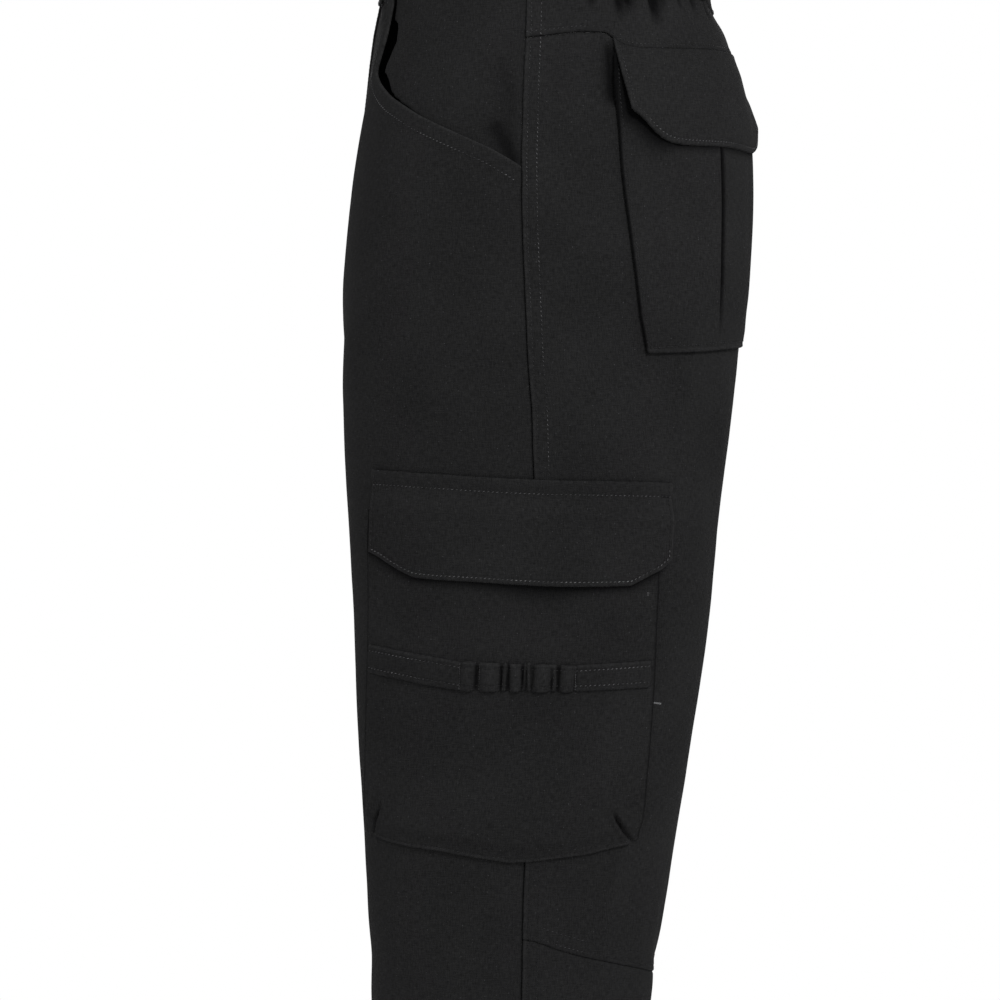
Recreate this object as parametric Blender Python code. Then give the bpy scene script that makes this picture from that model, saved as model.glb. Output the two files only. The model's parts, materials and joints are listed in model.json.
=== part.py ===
"""Cargo trousers in the shape they have when worn, with nothing inside them.

Metres, +Z up, front towards -Y, the wearer's left at +X.  The origin is the middle of the waist
opening, half way up the waistband.

Every piece of cloth is a closed wall made from one body surface.  A place on that surface is given
by its drop, the height below the waistband seam, and its reach, the distance along the cloth from
the side seam: negative towards the front, positive towards the back.  What is sewn on a panel is
made from the same surface, moved out.
"""

from functools import lru_cache
import math

import bpy
import bmesh
import numpy as np
from mathutils import Vector

MM = 0.001

# ---------------------------------------------------------------- driving dimensions
WALL = 1.2 * MM                 # body cloth
SEAM_GAP = 0.3 * MM             # between neighbouring pieces
BAND_HEIGHT = 40 * MM
BAND_WALL = 2.4 * MM
HEM_DROP = 1040 * MM            # hem below the waistband seam
HEM_HEIGHT = 22 * MM
HEM_WALL = 2.0 * MM
HALF_SEAM = SEAM_GAP / 2

# One row for each level of the left half, in millimetres.
#   drop        height below the waistband seam, at the side seam
#   front,back  furthest forward and backward points (y)
#   outer,side  outermost point (x) and the y of the side seam there
#   crown       x of the furthest forward and backward points
#   inner       x of the inner edge: the centre seam, and the inseam from the crotch down
#   inner_drop  drop of that inner edge, lower than the row where the seat curves under
#   front_in, back_in  y of the inner edge of the front and of the back
SECTION_COLUMNS = ("drop", "front", "back", "outer", "side", "crown", "inner", "inner_drop",
                   "front_in", "back_in")
SECTIONS = (
    (-40, -109.5, 110.5, 151.0, -11.5, 18, 0.15, -40, -109.5, 110.5),
    (0, -112.6, 114.6, 155.0, -12.0, 20, 0.15, 0, -112.6, 114.6),
    (35, -117.0, 126.3, 163.0, -13.0, 32, 0.15, 35, -116.8, 126.0),
    (70, -121.2, 132.1, 172.0, -14.5, 45, 0.15, 70, -120.0, 131.0),
    (110, -126.1, 134.3, 181.5, -15.0, 58, 0.15, 110, -122.0, 131.5),
    (150, -129.8, 132.9, 187.0, -14.2, 70, 0.15, 151, -120.5, 126.5),
    (190, -132.0, 129.7, 189.0, -12.6, 80, 0.15, 194, -112.0, 116.0),
    (215, -132.4, 127.2, 189.4, -11.5, 85, 0.15, 224, -96.0, 99.0),
    (235, -132.4, 125.0, 189.2, -10.6, 89, 0.15, 247, -68.0, 70.0),
    (250, -132.2, 123.4, 188.7, -9.6, 92, 0.15, 259, -36.0, 37.0),
    (264, -131.7, 121.8, 188.0, -8.4, 94, 0.6, 265, -1.0, -1.0),
    (290, -130.7, 118.9, 186.3, -6.2, 95, 2.2, 284, -3.0, -3.0),
    (330, -128.8, 114.6, 183.2, -3.0, 95, 4.8, 326, -5.0, -5.0),
    (380, -126.3, 109.2, 179.4, -2.0, 95, 8.6, 378, -8.0, -8.0),
    (440, -123.5, 101.7, 175.0, -4.0, 95, 13.0, 440, -11.0, -11.0),
    (500, -120.4, 92.0, 171.0, -8.0, 95, 18.0, 500, -14.0, -14.0),
    (560, -116.8, 82.2, 167.0, -13.5, 95, 22.0, 560, -17.0, -17.0),
    (643, -113.3, 70.3, 162.0, -15.5, 94, 26.2, 643, -21.0, -21.0),
    (720, -111.4, 62.6, 158.8, -18.0, 94, 29.8, 720, -23.5, -23.5),
    (820, -109.6, 57.8, 156.6, -21.0, 95, 33.4, 820, -25.0, -25.0),
    (930, -108.0, 56.0, 155.4, -23.0, 96, 36.6, 930, -25.5, -25.5),
    (1040, -107.0, 56.0, 155.0, -24.0, 97, 39.0, 1040, -25.5, -25.5),
)
CROTCH_DROP = 264 * MM          # from here down the section closes into a leg
SQUARENESS = 2.3                # 2 is an ellipse, more is flatter at the sides
QUARTER_STEPS = 64              # straight steps in each quarter of a section


# ---------------------------------------------------------------- the body surface
def smooth_curve(places, values, place):
    """A smooth curve through the rows of a table, read at one place."""
    slopes = np.gradient(values, places)
    row = int(np.clip(np.searchsorted(places, place) - 1, 0, len(places) - 2))
    span = places[row + 1] - places[row]
    t = (place - places[row]) / span
    start = values[row] * (1 + 2 * t) * (1 - t) ** 2 + slopes[row] * span * t * (1 - t) ** 2
    end = values[row + 1] * t * t * (3 - 2 * t) + slopes[row + 1] * span * t * t * (t - 1)
    return start + end


def soft_step(value, start, end):
    """0 before start, 1 after end, smooth in between."""
    t = min(max((value - start) / (end - start), 0.0), 1.0)
    return t * t * (3 - 2 * t)


TABLE = np.array(SECTIONS) * MM


def section(drop):
    """The named columns of the section table at any drop; a leg's inner edges meet."""
    drops = TABLE[:, 0]
    row = {name: smooth_curve(drops, TABLE[:, column], drop)
           for column, name in enumerate(SECTION_COLUMNS)}
    if drop > CROTCH_DROP:
        inseam = (row["front_in"] + row["back_in"]) / 2
        row["front_in"] = inseam
        row["back_in"] = inseam
    return row


@lru_cache(maxsize=None)
def section_line(drop):
    """Reach and position of the points of one section, from the front's inner edge to the back's."""
    row = section(drop)
    turn = np.linspace(0.0, math.pi / 2, QUARTER_STEPS + 1)
    power = 2.0 / SQUARENESS
    rise = np.sin(turn) ** power
    fall = np.abs(np.cos(turn)) ** power
    inward = row["inner"] - row["crown"]
    outward = row["outer"] - row["crown"]
    quarters = (
        (row["crown"] + inward * fall, row["front_in"] + (row["front"] - row["front_in"]) * rise),
        (row["crown"] + outward * rise, row["side"] + (row["front"] - row["side"]) * fall),
        (row["crown"] + outward * fall, row["side"] + (row["back"] - row["side"]) * rise),
        (row["crown"] + inward * rise, row["back_in"] + (row["back"] - row["back_in"]) * fall),
    )
    xs = np.concatenate([q[0][1:] if i else q[0] for i, q in enumerate(quarters)])
    ys = np.concatenate([q[1][1:] if i else q[1] for i, q in enumerate(quarters)])
    steps = np.hypot(np.diff(xs), np.diff(ys))
    along = np.concatenate([[0.0], np.cumsum(steps)])
    seam = along[2 * QUARTER_STEPS]
    front_part = along / seam
    back_part = (along[-1] - along) / (along[-1] - seam)
    nearness = np.clip(1 - np.minimum(front_part, back_part) / 0.6, 0.0, 1.0) ** 2
    zs = -BAND_HEIGHT / 2 - (drop + (row["inner_drop"] - drop) * nearness)
    return along - seam, xs, ys, zs


def front_length(drop):
    """Width of the front, from its inner edge to the side seam."""
    return -section_line(drop)[0][0]


def back_length(drop):
    """Width of the back, from the side seam to its inner edge."""
    return section_line(drop)[0][-1]


def body_point(drop, reach):
    """A point of the smooth body surface; past the centre front it goes on as its mirror image."""
    reaches, xs, ys, zs = section_line(round(drop, 6))
    side = 1.0
    if reach < reaches[0]:
        reach = 2 * reaches[0] - reach
        side = -1.0
    elif reach > reaches[-1]:
        reach = 2 * reaches[-1] - reach
        side = -1.0
    return Vector((side * np.interp(reach, reaches, xs), np.interp(reach, reaches, ys),
                   np.interp(reach, reaches, zs)))


# ---------------------------------------------------------------- lines that the pieces share
# The mouth of the slanted pocket, from the waistband down to its corner and back to the side seam,
# in millimetres, and how far the front's edge stands off there.
MOUTH_COLUMNS = ("reach", "drop", "gape")
MOUTH = (
    (-104, 0.15, 0.0),
    (-107, 18, 1.8),
    (-111, 37, 2.2),
    (-116, 55, 1.6),
    (-98, 70, 0.8),
    (-78, 80, 0.2),
    (-58, 89, 0.0),
    (-38, 98, 0.0),
    (-19, 106, 0.6),
    (-0.15, 118, 0.0),
)
MOUTH_CORNER = 3                # the row of the table at the mouth's corner
FRONT_STRIP_COLUMNS = 5         # steps between the front's inner edge and the mouth
FRONT_MERGE_DROP = 190 * MM     # the lines of the front lie level from here down
FRONT_MERGE_STEPS = 4

# The yoke seam: level beside the side seam, and lower where the back flap is set in.
YOKE_SEAM_COLUMNS = ("reach", "drop")
YOKE_SEAM = (
    (0, 34), (17, 31.5), (34, 30), (52, 30), (60, 38), (80, 40), (106, 39), (136, 37.5),
    (166, 37), (195, 37), (222, 37), (249.5, 37),
)
# The seam behind the knee, by its part of the way from the side seam to the inseam.
KNEE_SEAM_COLUMNS = ("part", "drop_mm")
KNEE_SEAM = ((0.0, 607), (0.09, 612), (0.22, 622), (0.41, 631), (0.71, 637), (1.0, 640))

LOWER_DROPS = (190, 215, 235, 250, 264, 277, 290, 312, 345, 382, 420, 460, 500, 540, 575)
BACK_TOP_DROPS = (66, 96, 128, 160)
KNEE_ROW_DROP = 670             # the first level row below the knee seam
CALF_DROPS = (720, 800, 880, 960, 1016)

# ---------------------------------------------------------------- gathers and broad folds
# Gathers below the elastic of the back, in millimetres.
GATHER_COLUMNS = ("reach", "half_width", "depth", "length")
GATHERS = (
    (40, 6, 1.4, 15),
    (66, 8, 3.2, 24),
    (85, 6, 2.4, 30),
    (101, 6, 2.0, 20),
    (118, 7, 2.8, 25),
    (153, 6, 2.2, 19),
    (170, 8, 3.0, 27),
    (189, 6, 2.0, 20),
    (208, 7, 2.8, 25),
)
BAND_GATHER = 0.6               # part of a gather's depth that the waistband shows

# Broad soft troughs, each along a line from its middle: how far it leans back on its way down.
FOLD_COLUMNS = ("reach", "drop", "half_length", "half_width", "depth", "lean")
FOLDS = (
    (98, 269, 60, 20, 3.0, 0.5),
    (-205, 262, 55, 22, 3.0, -0.7),
    (250, 300, 60, 22, 3.0, 0.5),
    (170, 655, 55, 24, 2.5, 1.6),
    (-190, 660, 60, 26, 2.0, -1.4),
    (150, 975, 45, 22, 2.0, 1.2),
)


def fold_depth(drop, reach):
    """How far the cloth lies behind the smooth surface, as the sum of its gathers and folds."""
    depth = 0.0
    for place, half_width, deep, length in GATHERS:
        across = math.exp(-((reach / MM - place) / half_width) ** 2)
        fade = BAND_GATHER if drop < 0 else 1 - soft_step(drop, 0.0, length * MM)
        depth += deep * MM * across * fade
    for place, level, half_length, half_width, deep, lean in FOLDS:
        down = (drop / MM - level) / half_length
        across = (reach / MM - place - lean * (drop / MM - level)) / half_width
        depth += deep * MM * math.exp(-down ** 2 - across ** 2)
    return depth


# ---------------------------------------------------------------- walls
NORMAL_STEP = 3 * MM


def at_part(drop, part):
    """The body point at a part of the way from the side seam: -1 and 1 are the inner edges."""
    return body_point(drop, part * (back_length(drop) if part > 0 else front_length(drop)))


@lru_cache(maxsize=None)
def body_normal(drop, reach):
    """The direction out of the body surface; below the crotch it runs on across the inseam."""
    front_end = -front_length(drop)
    back_end = back_length(drop)
    if reach < front_end or reach > back_end:
        middle = front_end if reach < front_end else back_end
        mirrored = body_normal(drop, 2 * middle - reach)
        return Vector((-mirrored.x, mirrored.y, mirrored.z))
    before = reach - NORMAL_STEP
    after = reach + NORMAL_STEP
    if drop >= CROTCH_DROP:
        before += (back_end - front_end) if before < front_end else 0.0
        after -= (back_end - front_end) if after > back_end else 0.0
    along = body_point(drop, min(after, back_end)) - body_point(drop, max(before, front_end))
    part = reach / (back_end if reach > 0 else -front_end)
    level = round(drop + NORMAL_STEP, 6), round(drop - NORMAL_STEP, 6)
    down = at_part(level[0], part) - at_part(level[1], part)
    return down.cross(along).normalized()


def cloth_point(drop, reach, lift):
    """A point of the folded cloth, lifted off the body surface."""
    normal = body_normal(round(drop, 6), round(reach, 6))
    return body_point(drop, reach) + normal * (lift - fold_depth(drop, reach))


def wall_mesh(name, places, lifts, missing=()):
    """A closed wall over a lattice of places; lifts(i, j) gives its inner and outer height.

    Each cell is split along its shorter diagonal.  Cells listed in missing are left open, and every
    free edge is closed from inner to outer.
    """
    rows, columns = len(places), len(places[0])
    cells = [(i, j) for i in range(rows - 1) for j in range(columns - 1) if (i, j) not in missing]
    corners = sorted({(i + a, j + b) for i, j in cells for a in (0, 1) for b in (0, 1)})
    number = {corner: 2 * k for k, corner in enumerate(corners)}
    points = []
    for i, j in corners:
        drop, reach = places[i][j]
        inner, outer = lifts(i, j)
        points.append(cloth_point(drop, reach, outer))
        points.append(cloth_point(drop, reach, inner))
    triangles = []
    edges = set()
    for i, j in cells:
        a, b = number[i, j], number[i, j + 1]
        c, d = number[i + 1, j + 1], number[i + 1, j]
        falling = (points[a] - points[c]).length
        rising = (points[b] - points[d]).length
        halves = ((a, d, c), (a, c, b)) if falling <= rising else ((a, d, b), (b, d, c))
        for p, q, r in halves:
            triangles.append((p, q, r))
            triangles.append((p + 1, r + 1, q + 1))
            edges.update(((p, q), (q, r), (r, p)))
    for p, q in sorted(edges):
        if (q, p) not in edges:
            triangles.append((q, p, p + 1))
            triangles.append((q, p + 1, q + 1))
    mesh = bpy.data.meshes.new(name)
    mesh.from_pydata(points, [], triangles)
    mesh.shade_smooth()
    mesh.set_sharp_from_angle(angle=math.radians(50))
    return mesh


# ---------------------------------------------------------------- materials and objects
CLOTH_COLOUR = (0.016, 0.016, 0.0165)
BUTTON_COLOUR = (0.010, 0.010, 0.011)


def plain_material(name, colour, roughness):
    material = bpy.data.materials.new(name)
    material.use_nodes = True
    shader = material.node_tree.nodes["Principled BSDF"]
    shader.inputs["Base Color"].default_value = (*colour, 1.0)
    shader.inputs["Roughness"].default_value = roughness
    shader.inputs["Metallic"].default_value = 0.0
    material.diffuse_color = (*colour, 1.0)
    return material


def add_object(name, mesh):
    body = bpy.data.objects.new(name, mesh)
    bpy.context.scene.collection.objects.link(body)
    return body


def add_piece(name, mesh):
    """One piece of cloth with a material of its own."""
    mesh.materials.append(plain_material(name + "_cloth", CLOTH_COLOUR, 0.85))
    return add_object(name, mesh)


def add_pair(name, mesh):
    """The piece of the wearer's left and its mirror image on the right."""
    left = add_piece(name + "_left", mesh)
    right = add_object(name + "_right", mesh)
    right.scale.x = -1.0
    return left, right


def panel_lifts(places):
    """A panel lies with its outer face on the body surface, and is doubled at the hem."""
    def lifts(i, j):
        hemmed = places[i][j][0] > HEM_DROP - HEM_HEIGHT
        return (-HEM_WALL if hemmed else -WALL), 0.0
    return lifts


def hem_drops():
    """The level rows below the knee, with two close ones where the hem is turned."""
    return [drop * MM for drop in (KNEE_ROW_DROP,) + CALF_DROPS] + [HEM_DROP - HEM_HEIGHT + 1 * MM, HEM_DROP]


# ---------------------------------------------------------------- front and slanted pocket
def front_part(column):
    """Part of the front's width that lies between a column and the side seam."""
    corner_part = mouth_part(MOUTH_CORNER)
    if column <= FRONT_STRIP_COLUMNS:
        return 1 + (corner_part - 1) * column / FRONT_STRIP_COLUMNS
    return mouth_part(MOUTH_CORNER + column - FRONT_STRIP_COLUMNS)


def mouth_part(row):
    reach, drop, _ = MOUTH[row]
    return -reach * MM / front_length(drop * MM)


def front_reach(drop, part):
    """The reach at part of the front's width, clear of both seams."""
    length = front_length(round(drop, 6))
    return -min(max(part * length, HALF_SEAM), length - HALF_SEAM)


FRONT_COLUMN_COUNT = FRONT_STRIP_COLUMNS + len(MOUTH) - MOUTH_CORNER


def front_lattice():
    """Places of the whole front; the cells above the mouth belong to the pocket facing."""
    places = []
    corner_drop = MOUTH[MOUTH_CORNER][1] * MM
    for reach, drop, _ in MOUTH[:MOUTH_CORNER]:
        row = []
        for column in range(FRONT_COLUMN_COUNT):
            if column <= FRONT_STRIP_COLUMNS:
                inner = front_length(drop * MM) - HALF_SEAM
                step = column / FRONT_STRIP_COLUMNS
                row.append((drop * MM, -inner + (reach * MM + inner) * step))
            else:
                level = MOUTH[MOUTH_CORNER + column - FRONT_STRIP_COLUMNS][1] * MM
                level *= drop * MM / corner_drop
                share = front_part(column) / mouth_part(MOUTH_CORNER)
                row.append((level, min(reach * MM * share, -HALF_SEAM)))
        places.append(row)
    for step in range(FRONT_MERGE_STEPS):
        row = []
        for column in range(FRONT_COLUMN_COUNT):
            mouth_row = MOUTH_CORNER + max(column - FRONT_STRIP_COLUMNS, 0)
            start = MOUTH[mouth_row][1] * MM
            drop = start + (FRONT_MERGE_DROP - start) * step / FRONT_MERGE_STEPS
            row.append((drop, front_reach(drop, front_part(column))))
        places.append(row)
    parts = [front_part(column) for column in range(FRONT_COLUMN_COUNT)]
    places += [[(drop * MM, front_reach(drop * MM, part)) for part in parts]
               for drop in LOWER_DROPS]
    places.append([(knee_seam_drop(part), front_reach(knee_seam_drop(part), part))
                   for part in parts])
    places += [[(drop, front_reach(drop, part)) for part in parts] for drop in hem_drops()]
    return places


def front_gape(i, j):
    """How far the front's edge stands off along the pocket mouth."""
    if i <= MOUTH_CORNER and j == FRONT_STRIP_COLUMNS:
        return MOUTH[i][2] * MM
    if i == MOUTH_CORNER and j > FRONT_STRIP_COLUMNS:
        return MOUTH[MOUTH_CORNER + j - FRONT_STRIP_COLUMNS][2] * MM
    return 0.0


def build_front():
    places = front_lattice()
    plain = panel_lifts(places)

    def lifts(i, j):
        inner, outer = plain(i, j)
        return inner + front_gape(i, j), outer + front_gape(i, j)

    mouth_cells = [(i, j) for i in range(MOUTH_CORNER)
                   for j in range(FRONT_STRIP_COLUMNS, FRONT_COLUMN_COUNT - 1)]
    add_pair("front", wall_mesh("front", places, lifts, mouth_cells))

    first = FRONT_STRIP_COLUMNS - 1
    facing = [row[first:] for row in places[:MOUTH_CORNER + 2]]

    def facing_lifts(i, j):
        return -2 * WALL - SEAM_GAP, -WALL - SEAM_GAP
    add_pair("pocket_facing", wall_mesh("pocket_facing", facing, facing_lifts))


# ---------------------------------------------------------------- back, yoke and lower back leg
def back_part(column):
    reach, drop = YOKE_SEAM[column]
    if column == len(YOKE_SEAM) - 1:
        return 1.0
    return reach * MM / back_length(drop * MM)


def back_reach(drop, part):
    length = back_length(round(drop, 6))
    return min(max(part * length, HALF_SEAM), length - HALF_SEAM)


BACK_PARTS = [back_part(column) for column in range(len(YOKE_SEAM))]


def yoke_seam_drop(part):
    return float(np.interp(part, BACK_PARTS, [drop * MM for _, drop in YOKE_SEAM]))


def knee_seam_drop(part):
    parts, drops = zip(*KNEE_SEAM)
    return float(np.interp(part, parts, drops)) * MM


def back_row(drop_of_part, parts):
    row = []
    for part in parts:
        drop = drop_of_part(part)
        row.append((drop, back_reach(drop, part)))
    return row


def build_back():
    levels = [drop * MM for drop in BACK_TOP_DROPS + LOWER_DROPS]
    places = [back_row(lambda part: yoke_seam_drop(part) + HALF_SEAM, BACK_PARTS)]
    places += [back_row(lambda part, level=level: level, BACK_PARTS) for level in levels]
    places.append(back_row(lambda part: knee_seam_drop(part) - HALF_SEAM, BACK_PARTS))
    add_pair("back", wall_mesh("back", places, panel_lifts(places)))

    lower = [back_row(lambda part: knee_seam_drop(part) + HALF_SEAM, BACK_PARTS)]
    lower += [back_row(lambda part, level=level: level, BACK_PARTS)
              for level in hem_drops()]
    add_pair("back_lower", wall_mesh("back_lower", lower, panel_lifts(lower)))


YOKE_STEP = 7.5 * MM            # between the yoke's lines, fine enough for its gathers
YOKE_ROWS = 3


def yoke_parts():
    """The back's columns, with steps between them that are fine enough for the gathers."""
    parts = []
    for before, after in zip(BACK_PARTS, BACK_PARTS[1:]):
        steps = max(1, round((after - before) * back_length(0.0) / YOKE_STEP))
        parts += [before + (after - before) * k / steps for k in range(steps)]
    return parts + [1.0]


def build_yoke():
    parts = yoke_parts()
    places = []
    for i in range(YOKE_ROWS + 1):
        share = i / YOKE_ROWS
        places.append(back_row(
            lambda part: HALF_SEAM + (yoke_seam_drop(part) - SEAM_GAP) * share, parts))
    add_pair("back_yoke", wall_mesh("back_yoke", places, panel_lifts(places)))


# ---------------------------------------------------------------- waistband, fly, loops, button
BAND_OUT = BAND_WALL - WALL     # the band's outer face stands this far proud of the panels
BAND_ROWS = 2
BAND_FRONT_STEP = 22 * MM
TAB_LENGTH = 18 * MM            # the left end of the band, over the right one
TAB_RAMP = 14 * MM
TAB_LIFT = BAND_WALL + SEAM_GAP
FLY_LAP = 9 * MM                # the lap's free edge, past the centre
FLY_WIDTH = 32 * MM
FLY_LENGTH = 168 * MM
FLY_CURVE = 45 * MM
LAY_GAP = 0.4 * MM              # between a panel and what is sewn on it
EDGE_LIFT = 0.8 * MM            # the same where an edge runs across the panel's own lines
BUTTON_RADIUS = 8.5 * MM
BUTTON_HEIGHT = 3.0 * MM
BUTTON_SIDES = 24
LOOP_WIDTH = 12 * MM
LOOP_WALL = 1.4 * MM
LOOP_ARCH = 2.4 * MM            # room under a loop, for the belt to open further
# Path of a belt loop: drop, and the height of its inner face over the panel.
LOOP_PATH_COLUMNS = ("drop", "height")
LOOP_PATH = ((-38, 1.6), (-34, 3.4), (-27, 4.0), (-13, 4.0), (-5, 3.4), (2.5, 0.8), (8.5, 0.4))


def band_rows():
    low = -HALF_SEAM
    return [-BAND_HEIGHT + (low + BAND_HEIGHT) * i / BAND_ROWS for i in range(BAND_ROWS + 1)]


def front_band(name, tab):
    """Half of the front waistband; with a tab it goes on past the centre and over the other half."""
    places = []
    for drop in band_rows():
        length = front_length(round(drop, 6))
        row = []
        if tab:
            row += [(drop, -length - TAB_LENGTH), (drop, -length - TAB_LENGTH / 2)]
        start = length if tab else length - HALF_SEAM
        row.append((drop, -start))
        row.append((drop, -length + TAB_RAMP))
        steps = round((length - TAB_RAMP) / BAND_FRONT_STEP)
        for k in range(1, steps + 1):
            reach = (length - TAB_RAMP) * (1 - k / steps)
            row.append((drop, -max(reach, HALF_SEAM)))
        places.append(row)

    def lifts(i, j):
        drop, reach = places[i][j]
        past = -reach - front_length(round(drop, 6))
        raised = TAB_LIFT * soft_step(past, -TAB_RAMP + 0.1 * MM, 0.0) if tab else 0.0
        return -WALL + raised, BAND_OUT + raised
    return wall_mesh(name, places, lifts)


def build_waistband():
    add_piece("waistband_front_left", front_band("waistband_front_left", True))
    right = add_piece("waistband_front_right", front_band("waistband_front_right", False))
    right.scale.x = -1.0
    places = []
    half = [part for part in yoke_parts()]
    for drop in band_rows():
        length = back_length(round(drop, 6))
        row = [(drop, max(part * length, HALF_SEAM)) for part in half]
        row += [(drop, 2 * length - reach) for _, reach in reversed(row[:-1])]
        places.append(row)
    add_piece("waistband_back", wall_mesh("waistband_back", places,
                                          lambda i, j: (-WALL, BAND_OUT)))


def build_fly():
    """The lap of the left front over the right one, rounded at its foot."""
    across = (-FLY_LAP, 0.0, 9 * MM, 18 * MM, 26 * MM, FLY_WIDTH)
    down = (0.0, 0.12, 0.25, 0.4, 0.55, 0.7, 0.85, 1.0)
    places = []
    for share in down:
        row = []
        for x in across:
            out = (x + FLY_LAP) / (FLY_WIDTH + FLY_LAP)
            foot = FLY_LENGTH - FLY_CURVE * (1 - math.sqrt(1 - min(out, 0.98) ** 2))
            drop = 2 * HALF_SEAM + (foot - 2 * HALF_SEAM) * share
            row.append((drop, -front_length(round(drop, 6)) + x))
        places.append(row)
    add_piece("fly_lap", wall_mesh("fly_lap", places, lambda i, j: (EDGE_LIFT, EDGE_LIFT + WALL)))


def belt_loop(name, middle):
    """A belt loop; middle(drop) is the reach of its centre line."""
    places = []
    for drop, _ in LOOP_PATH:
        centre = middle(drop * MM)
        places.append([(drop * MM, centre + LOOP_WIDTH * k / 2) for k in (-1, 0, 1)])

    def lifts(i, j):
        height = LOOP_PATH[i][1] * MM
        return height, height + LOOP_WALL
    return wall_mesh(name, places, lifts)


FRONT_LOOP_FROM_CENTRE = 58 * MM
REAR_LOOP_REACH = 136 * MM


def build_loops():
    add_pair("belt_loop_front", belt_loop(
        "belt_loop_front", lambda drop: -front_length(round(drop, 6)) + FRONT_LOOP_FROM_CENTRE))
    add_pair("belt_loop_rear", belt_loop("belt_loop_rear", lambda drop: REAR_LOOP_REACH))
    add_piece("belt_loop_centre", belt_loop(
        "belt_loop_centre", lambda drop: back_length(round(drop, 6))))


def build_button():
    """A sewn button with a rim and a dished face, on the tab."""
    drop = -BAND_HEIGHT / 2
    reach = -front_length(round(drop, 6)) - TAB_LENGTH / 2
    outward = body_normal(drop, round(reach, 6))
    seat = cloth_point(drop, reach, BAND_OUT + TAB_LIFT + LAY_GAP)
    profile = ((1.0, 0.0), (1.0, 0.7), (0.9, 1.0), (0.72, 0.85), (0.62, 0.6))
    shape = bmesh.new()
    rings = []
    for radius, height in profile:
        ring = [shape.verts.new((BUTTON_RADIUS * radius * math.cos(2 * math.pi * k / BUTTON_SIDES),
                                 BUTTON_RADIUS * radius * math.sin(2 * math.pi * k / BUTTON_SIDES),
                                 BUTTON_HEIGHT * height)) for k in range(BUTTON_SIDES)]
        rings.append(ring)
    for low, high in zip(rings, rings[1:]):
        for k in range(BUTTON_SIDES):
            n = (k + 1) % BUTTON_SIDES
            shape.faces.new((low[k], low[n], high[n], high[k]))
    shape.faces.new(rings[-1])
    shape.faces.new(list(reversed(rings[0])))
    mesh = bpy.data.meshes.new("waist_button")
    shape.to_mesh(mesh)
    shape.free()
    mesh.shade_smooth()
    mesh.set_sharp_from_angle(angle=math.radians(35))
    mesh.materials.append(plain_material("button_plastic", BUTTON_COLOUR, 0.35))
    button = add_object("waist_button", mesh)
    button.location = seat
    button.rotation_euler = outward.to_track_quat("Z", "Y").to_euler()


# ---------------------------------------------------------------- pockets, in millimetres
FLAP_GAP = 1.0 * MM             # between a pocket and its flap

# The back pocket's side edge leans in on its way down: its distance from the pleat.
BACK_POCKET_MIDDLE = 144 * MM
BACK_POCKET_PROUD = 2.6 * MM
BACK_POCKET_COLUMNS = ("drop", "half_width")
BACK_POCKET = ((50, 82), (66, 82), (96, 81), (128, 79), (160, 76.5), (190, 74), (212, 72),
               (229, 69), (235, 68))
BACK_POCKET_HEM = 5 * MM        # from the outline to the full height
PLEAT_HALF = 3.5 * MM
PLEAT_FLOOR = 0.9 * MM
BACK_POCKET_LINES = (0.22, 0.4, 0.58, 0.76)     # parts of the half width, between pleat and edge

# The back flap: half its width at the seam and at the foot, and the drop of its foot there.
BACK_FLAP_COLUMNS = ("half_at_seam", "half_at_foot", "foot")
BACK_FLAP = ((85.5, 76.5, 80), (77, 69, 86), (66, 60, 95), (57, 52, 100), (40, 38, 101.5),
             (20, 19, 101), (0, 0, 100.5))
BACK_FLAP_SHARES = (0.0, 0.2, 0.45, 0.7, 1.0)
FLAP_FLARE = 1.2 * MM

# The cargo pocket, square across the side seam: its foot is lowest near the seam.
CARGO_PROUD = 3.4 * MM
CARGO_TOP = 328
CARGO_COLUMNS = ("reach", "foot")
CARGO_POCKET = (
    (-113, 541.5), (-109, 543.5), (-101, 545.5), (-90, 547), (-76, 548.5), (-60, 550), (-42, 553),
    (-22, 556.5), (0, 557), (22, 554.5), (40, 552), (56, 549.5), (69, 547), (74, 543.5),
)
CARGO_SHARES = (0.0, 0.12, 0.3, 0.42, 0.52, 0.68, 0.84, 0.977, 1.0)

# The cargo flap: where each of its lines starts at the top and ends at the foot.
CARGO_FLAP_COLUMNS = ("reach_top", "reach_foot", "top", "foot")
CARGO_FLAP = (
    (-105, -110, 309.5, 361), (-97, -100, 310, 367), (-84, -84, 310.8, 376), (-62, -62, 312, 378.5),
    (-42, -42, 313.2, 380), (-22, -22, 314.4, 381), (0, 0, 315.4, 381.8), (22, 22, 315.8, 383),
    (40, 40, 316, 383), (56, 56, 316.3, 382.4), (72, 72, 316.5, 374), (82, 81, 316.6, 365),
)
CARGO_FLAP_SHARES = (0.0, 0.18, 0.4, 0.6, 0.8, 1.0)

# The strap across the cargo pocket: upper and lower edge along it, and its gathered middle.
STRAP_COLUMNS = ("reach", "upper", "lower")
STRAP = ((-108.5, 420.8, 438.3), (-101, 422, 439.8), (-90, 423.7, 441.3), (-76, 425.8, 443.7),
         (-60, 428.3, 446.2), (-50, 430, 447.8), (22, 432, 448.2), (40, 431, 447.5),
         (56, 430, 446.6), (68.5, 429.2, 446))
ELASTIC_FIRST = 5               # rows of STRAP between which the elastic gathers it
ELASTIC_LAST = 6
# Each bulge of the gathered middle: the tack where it starts, and its height.
BULGE_COLUMNS = ("tack", "height")
BULGES = ((-50, 2.4), (-38, 3.0), (-22.5, 2.6), (-8.5, 3.2), (6.5, 2.4), (22, 0.0))
BULGE_SHAPE = ((0.0, 0.0), (0.22, 0.8), (0.6, 1.0), (0.86, 0.75))


def along_table(table, key, value, place):
    """One column of a table read along another, both in millimetres."""
    return float(np.interp(place / MM, [row[key] for row in table],
                           [row[value] for row in table])) * MM


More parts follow.
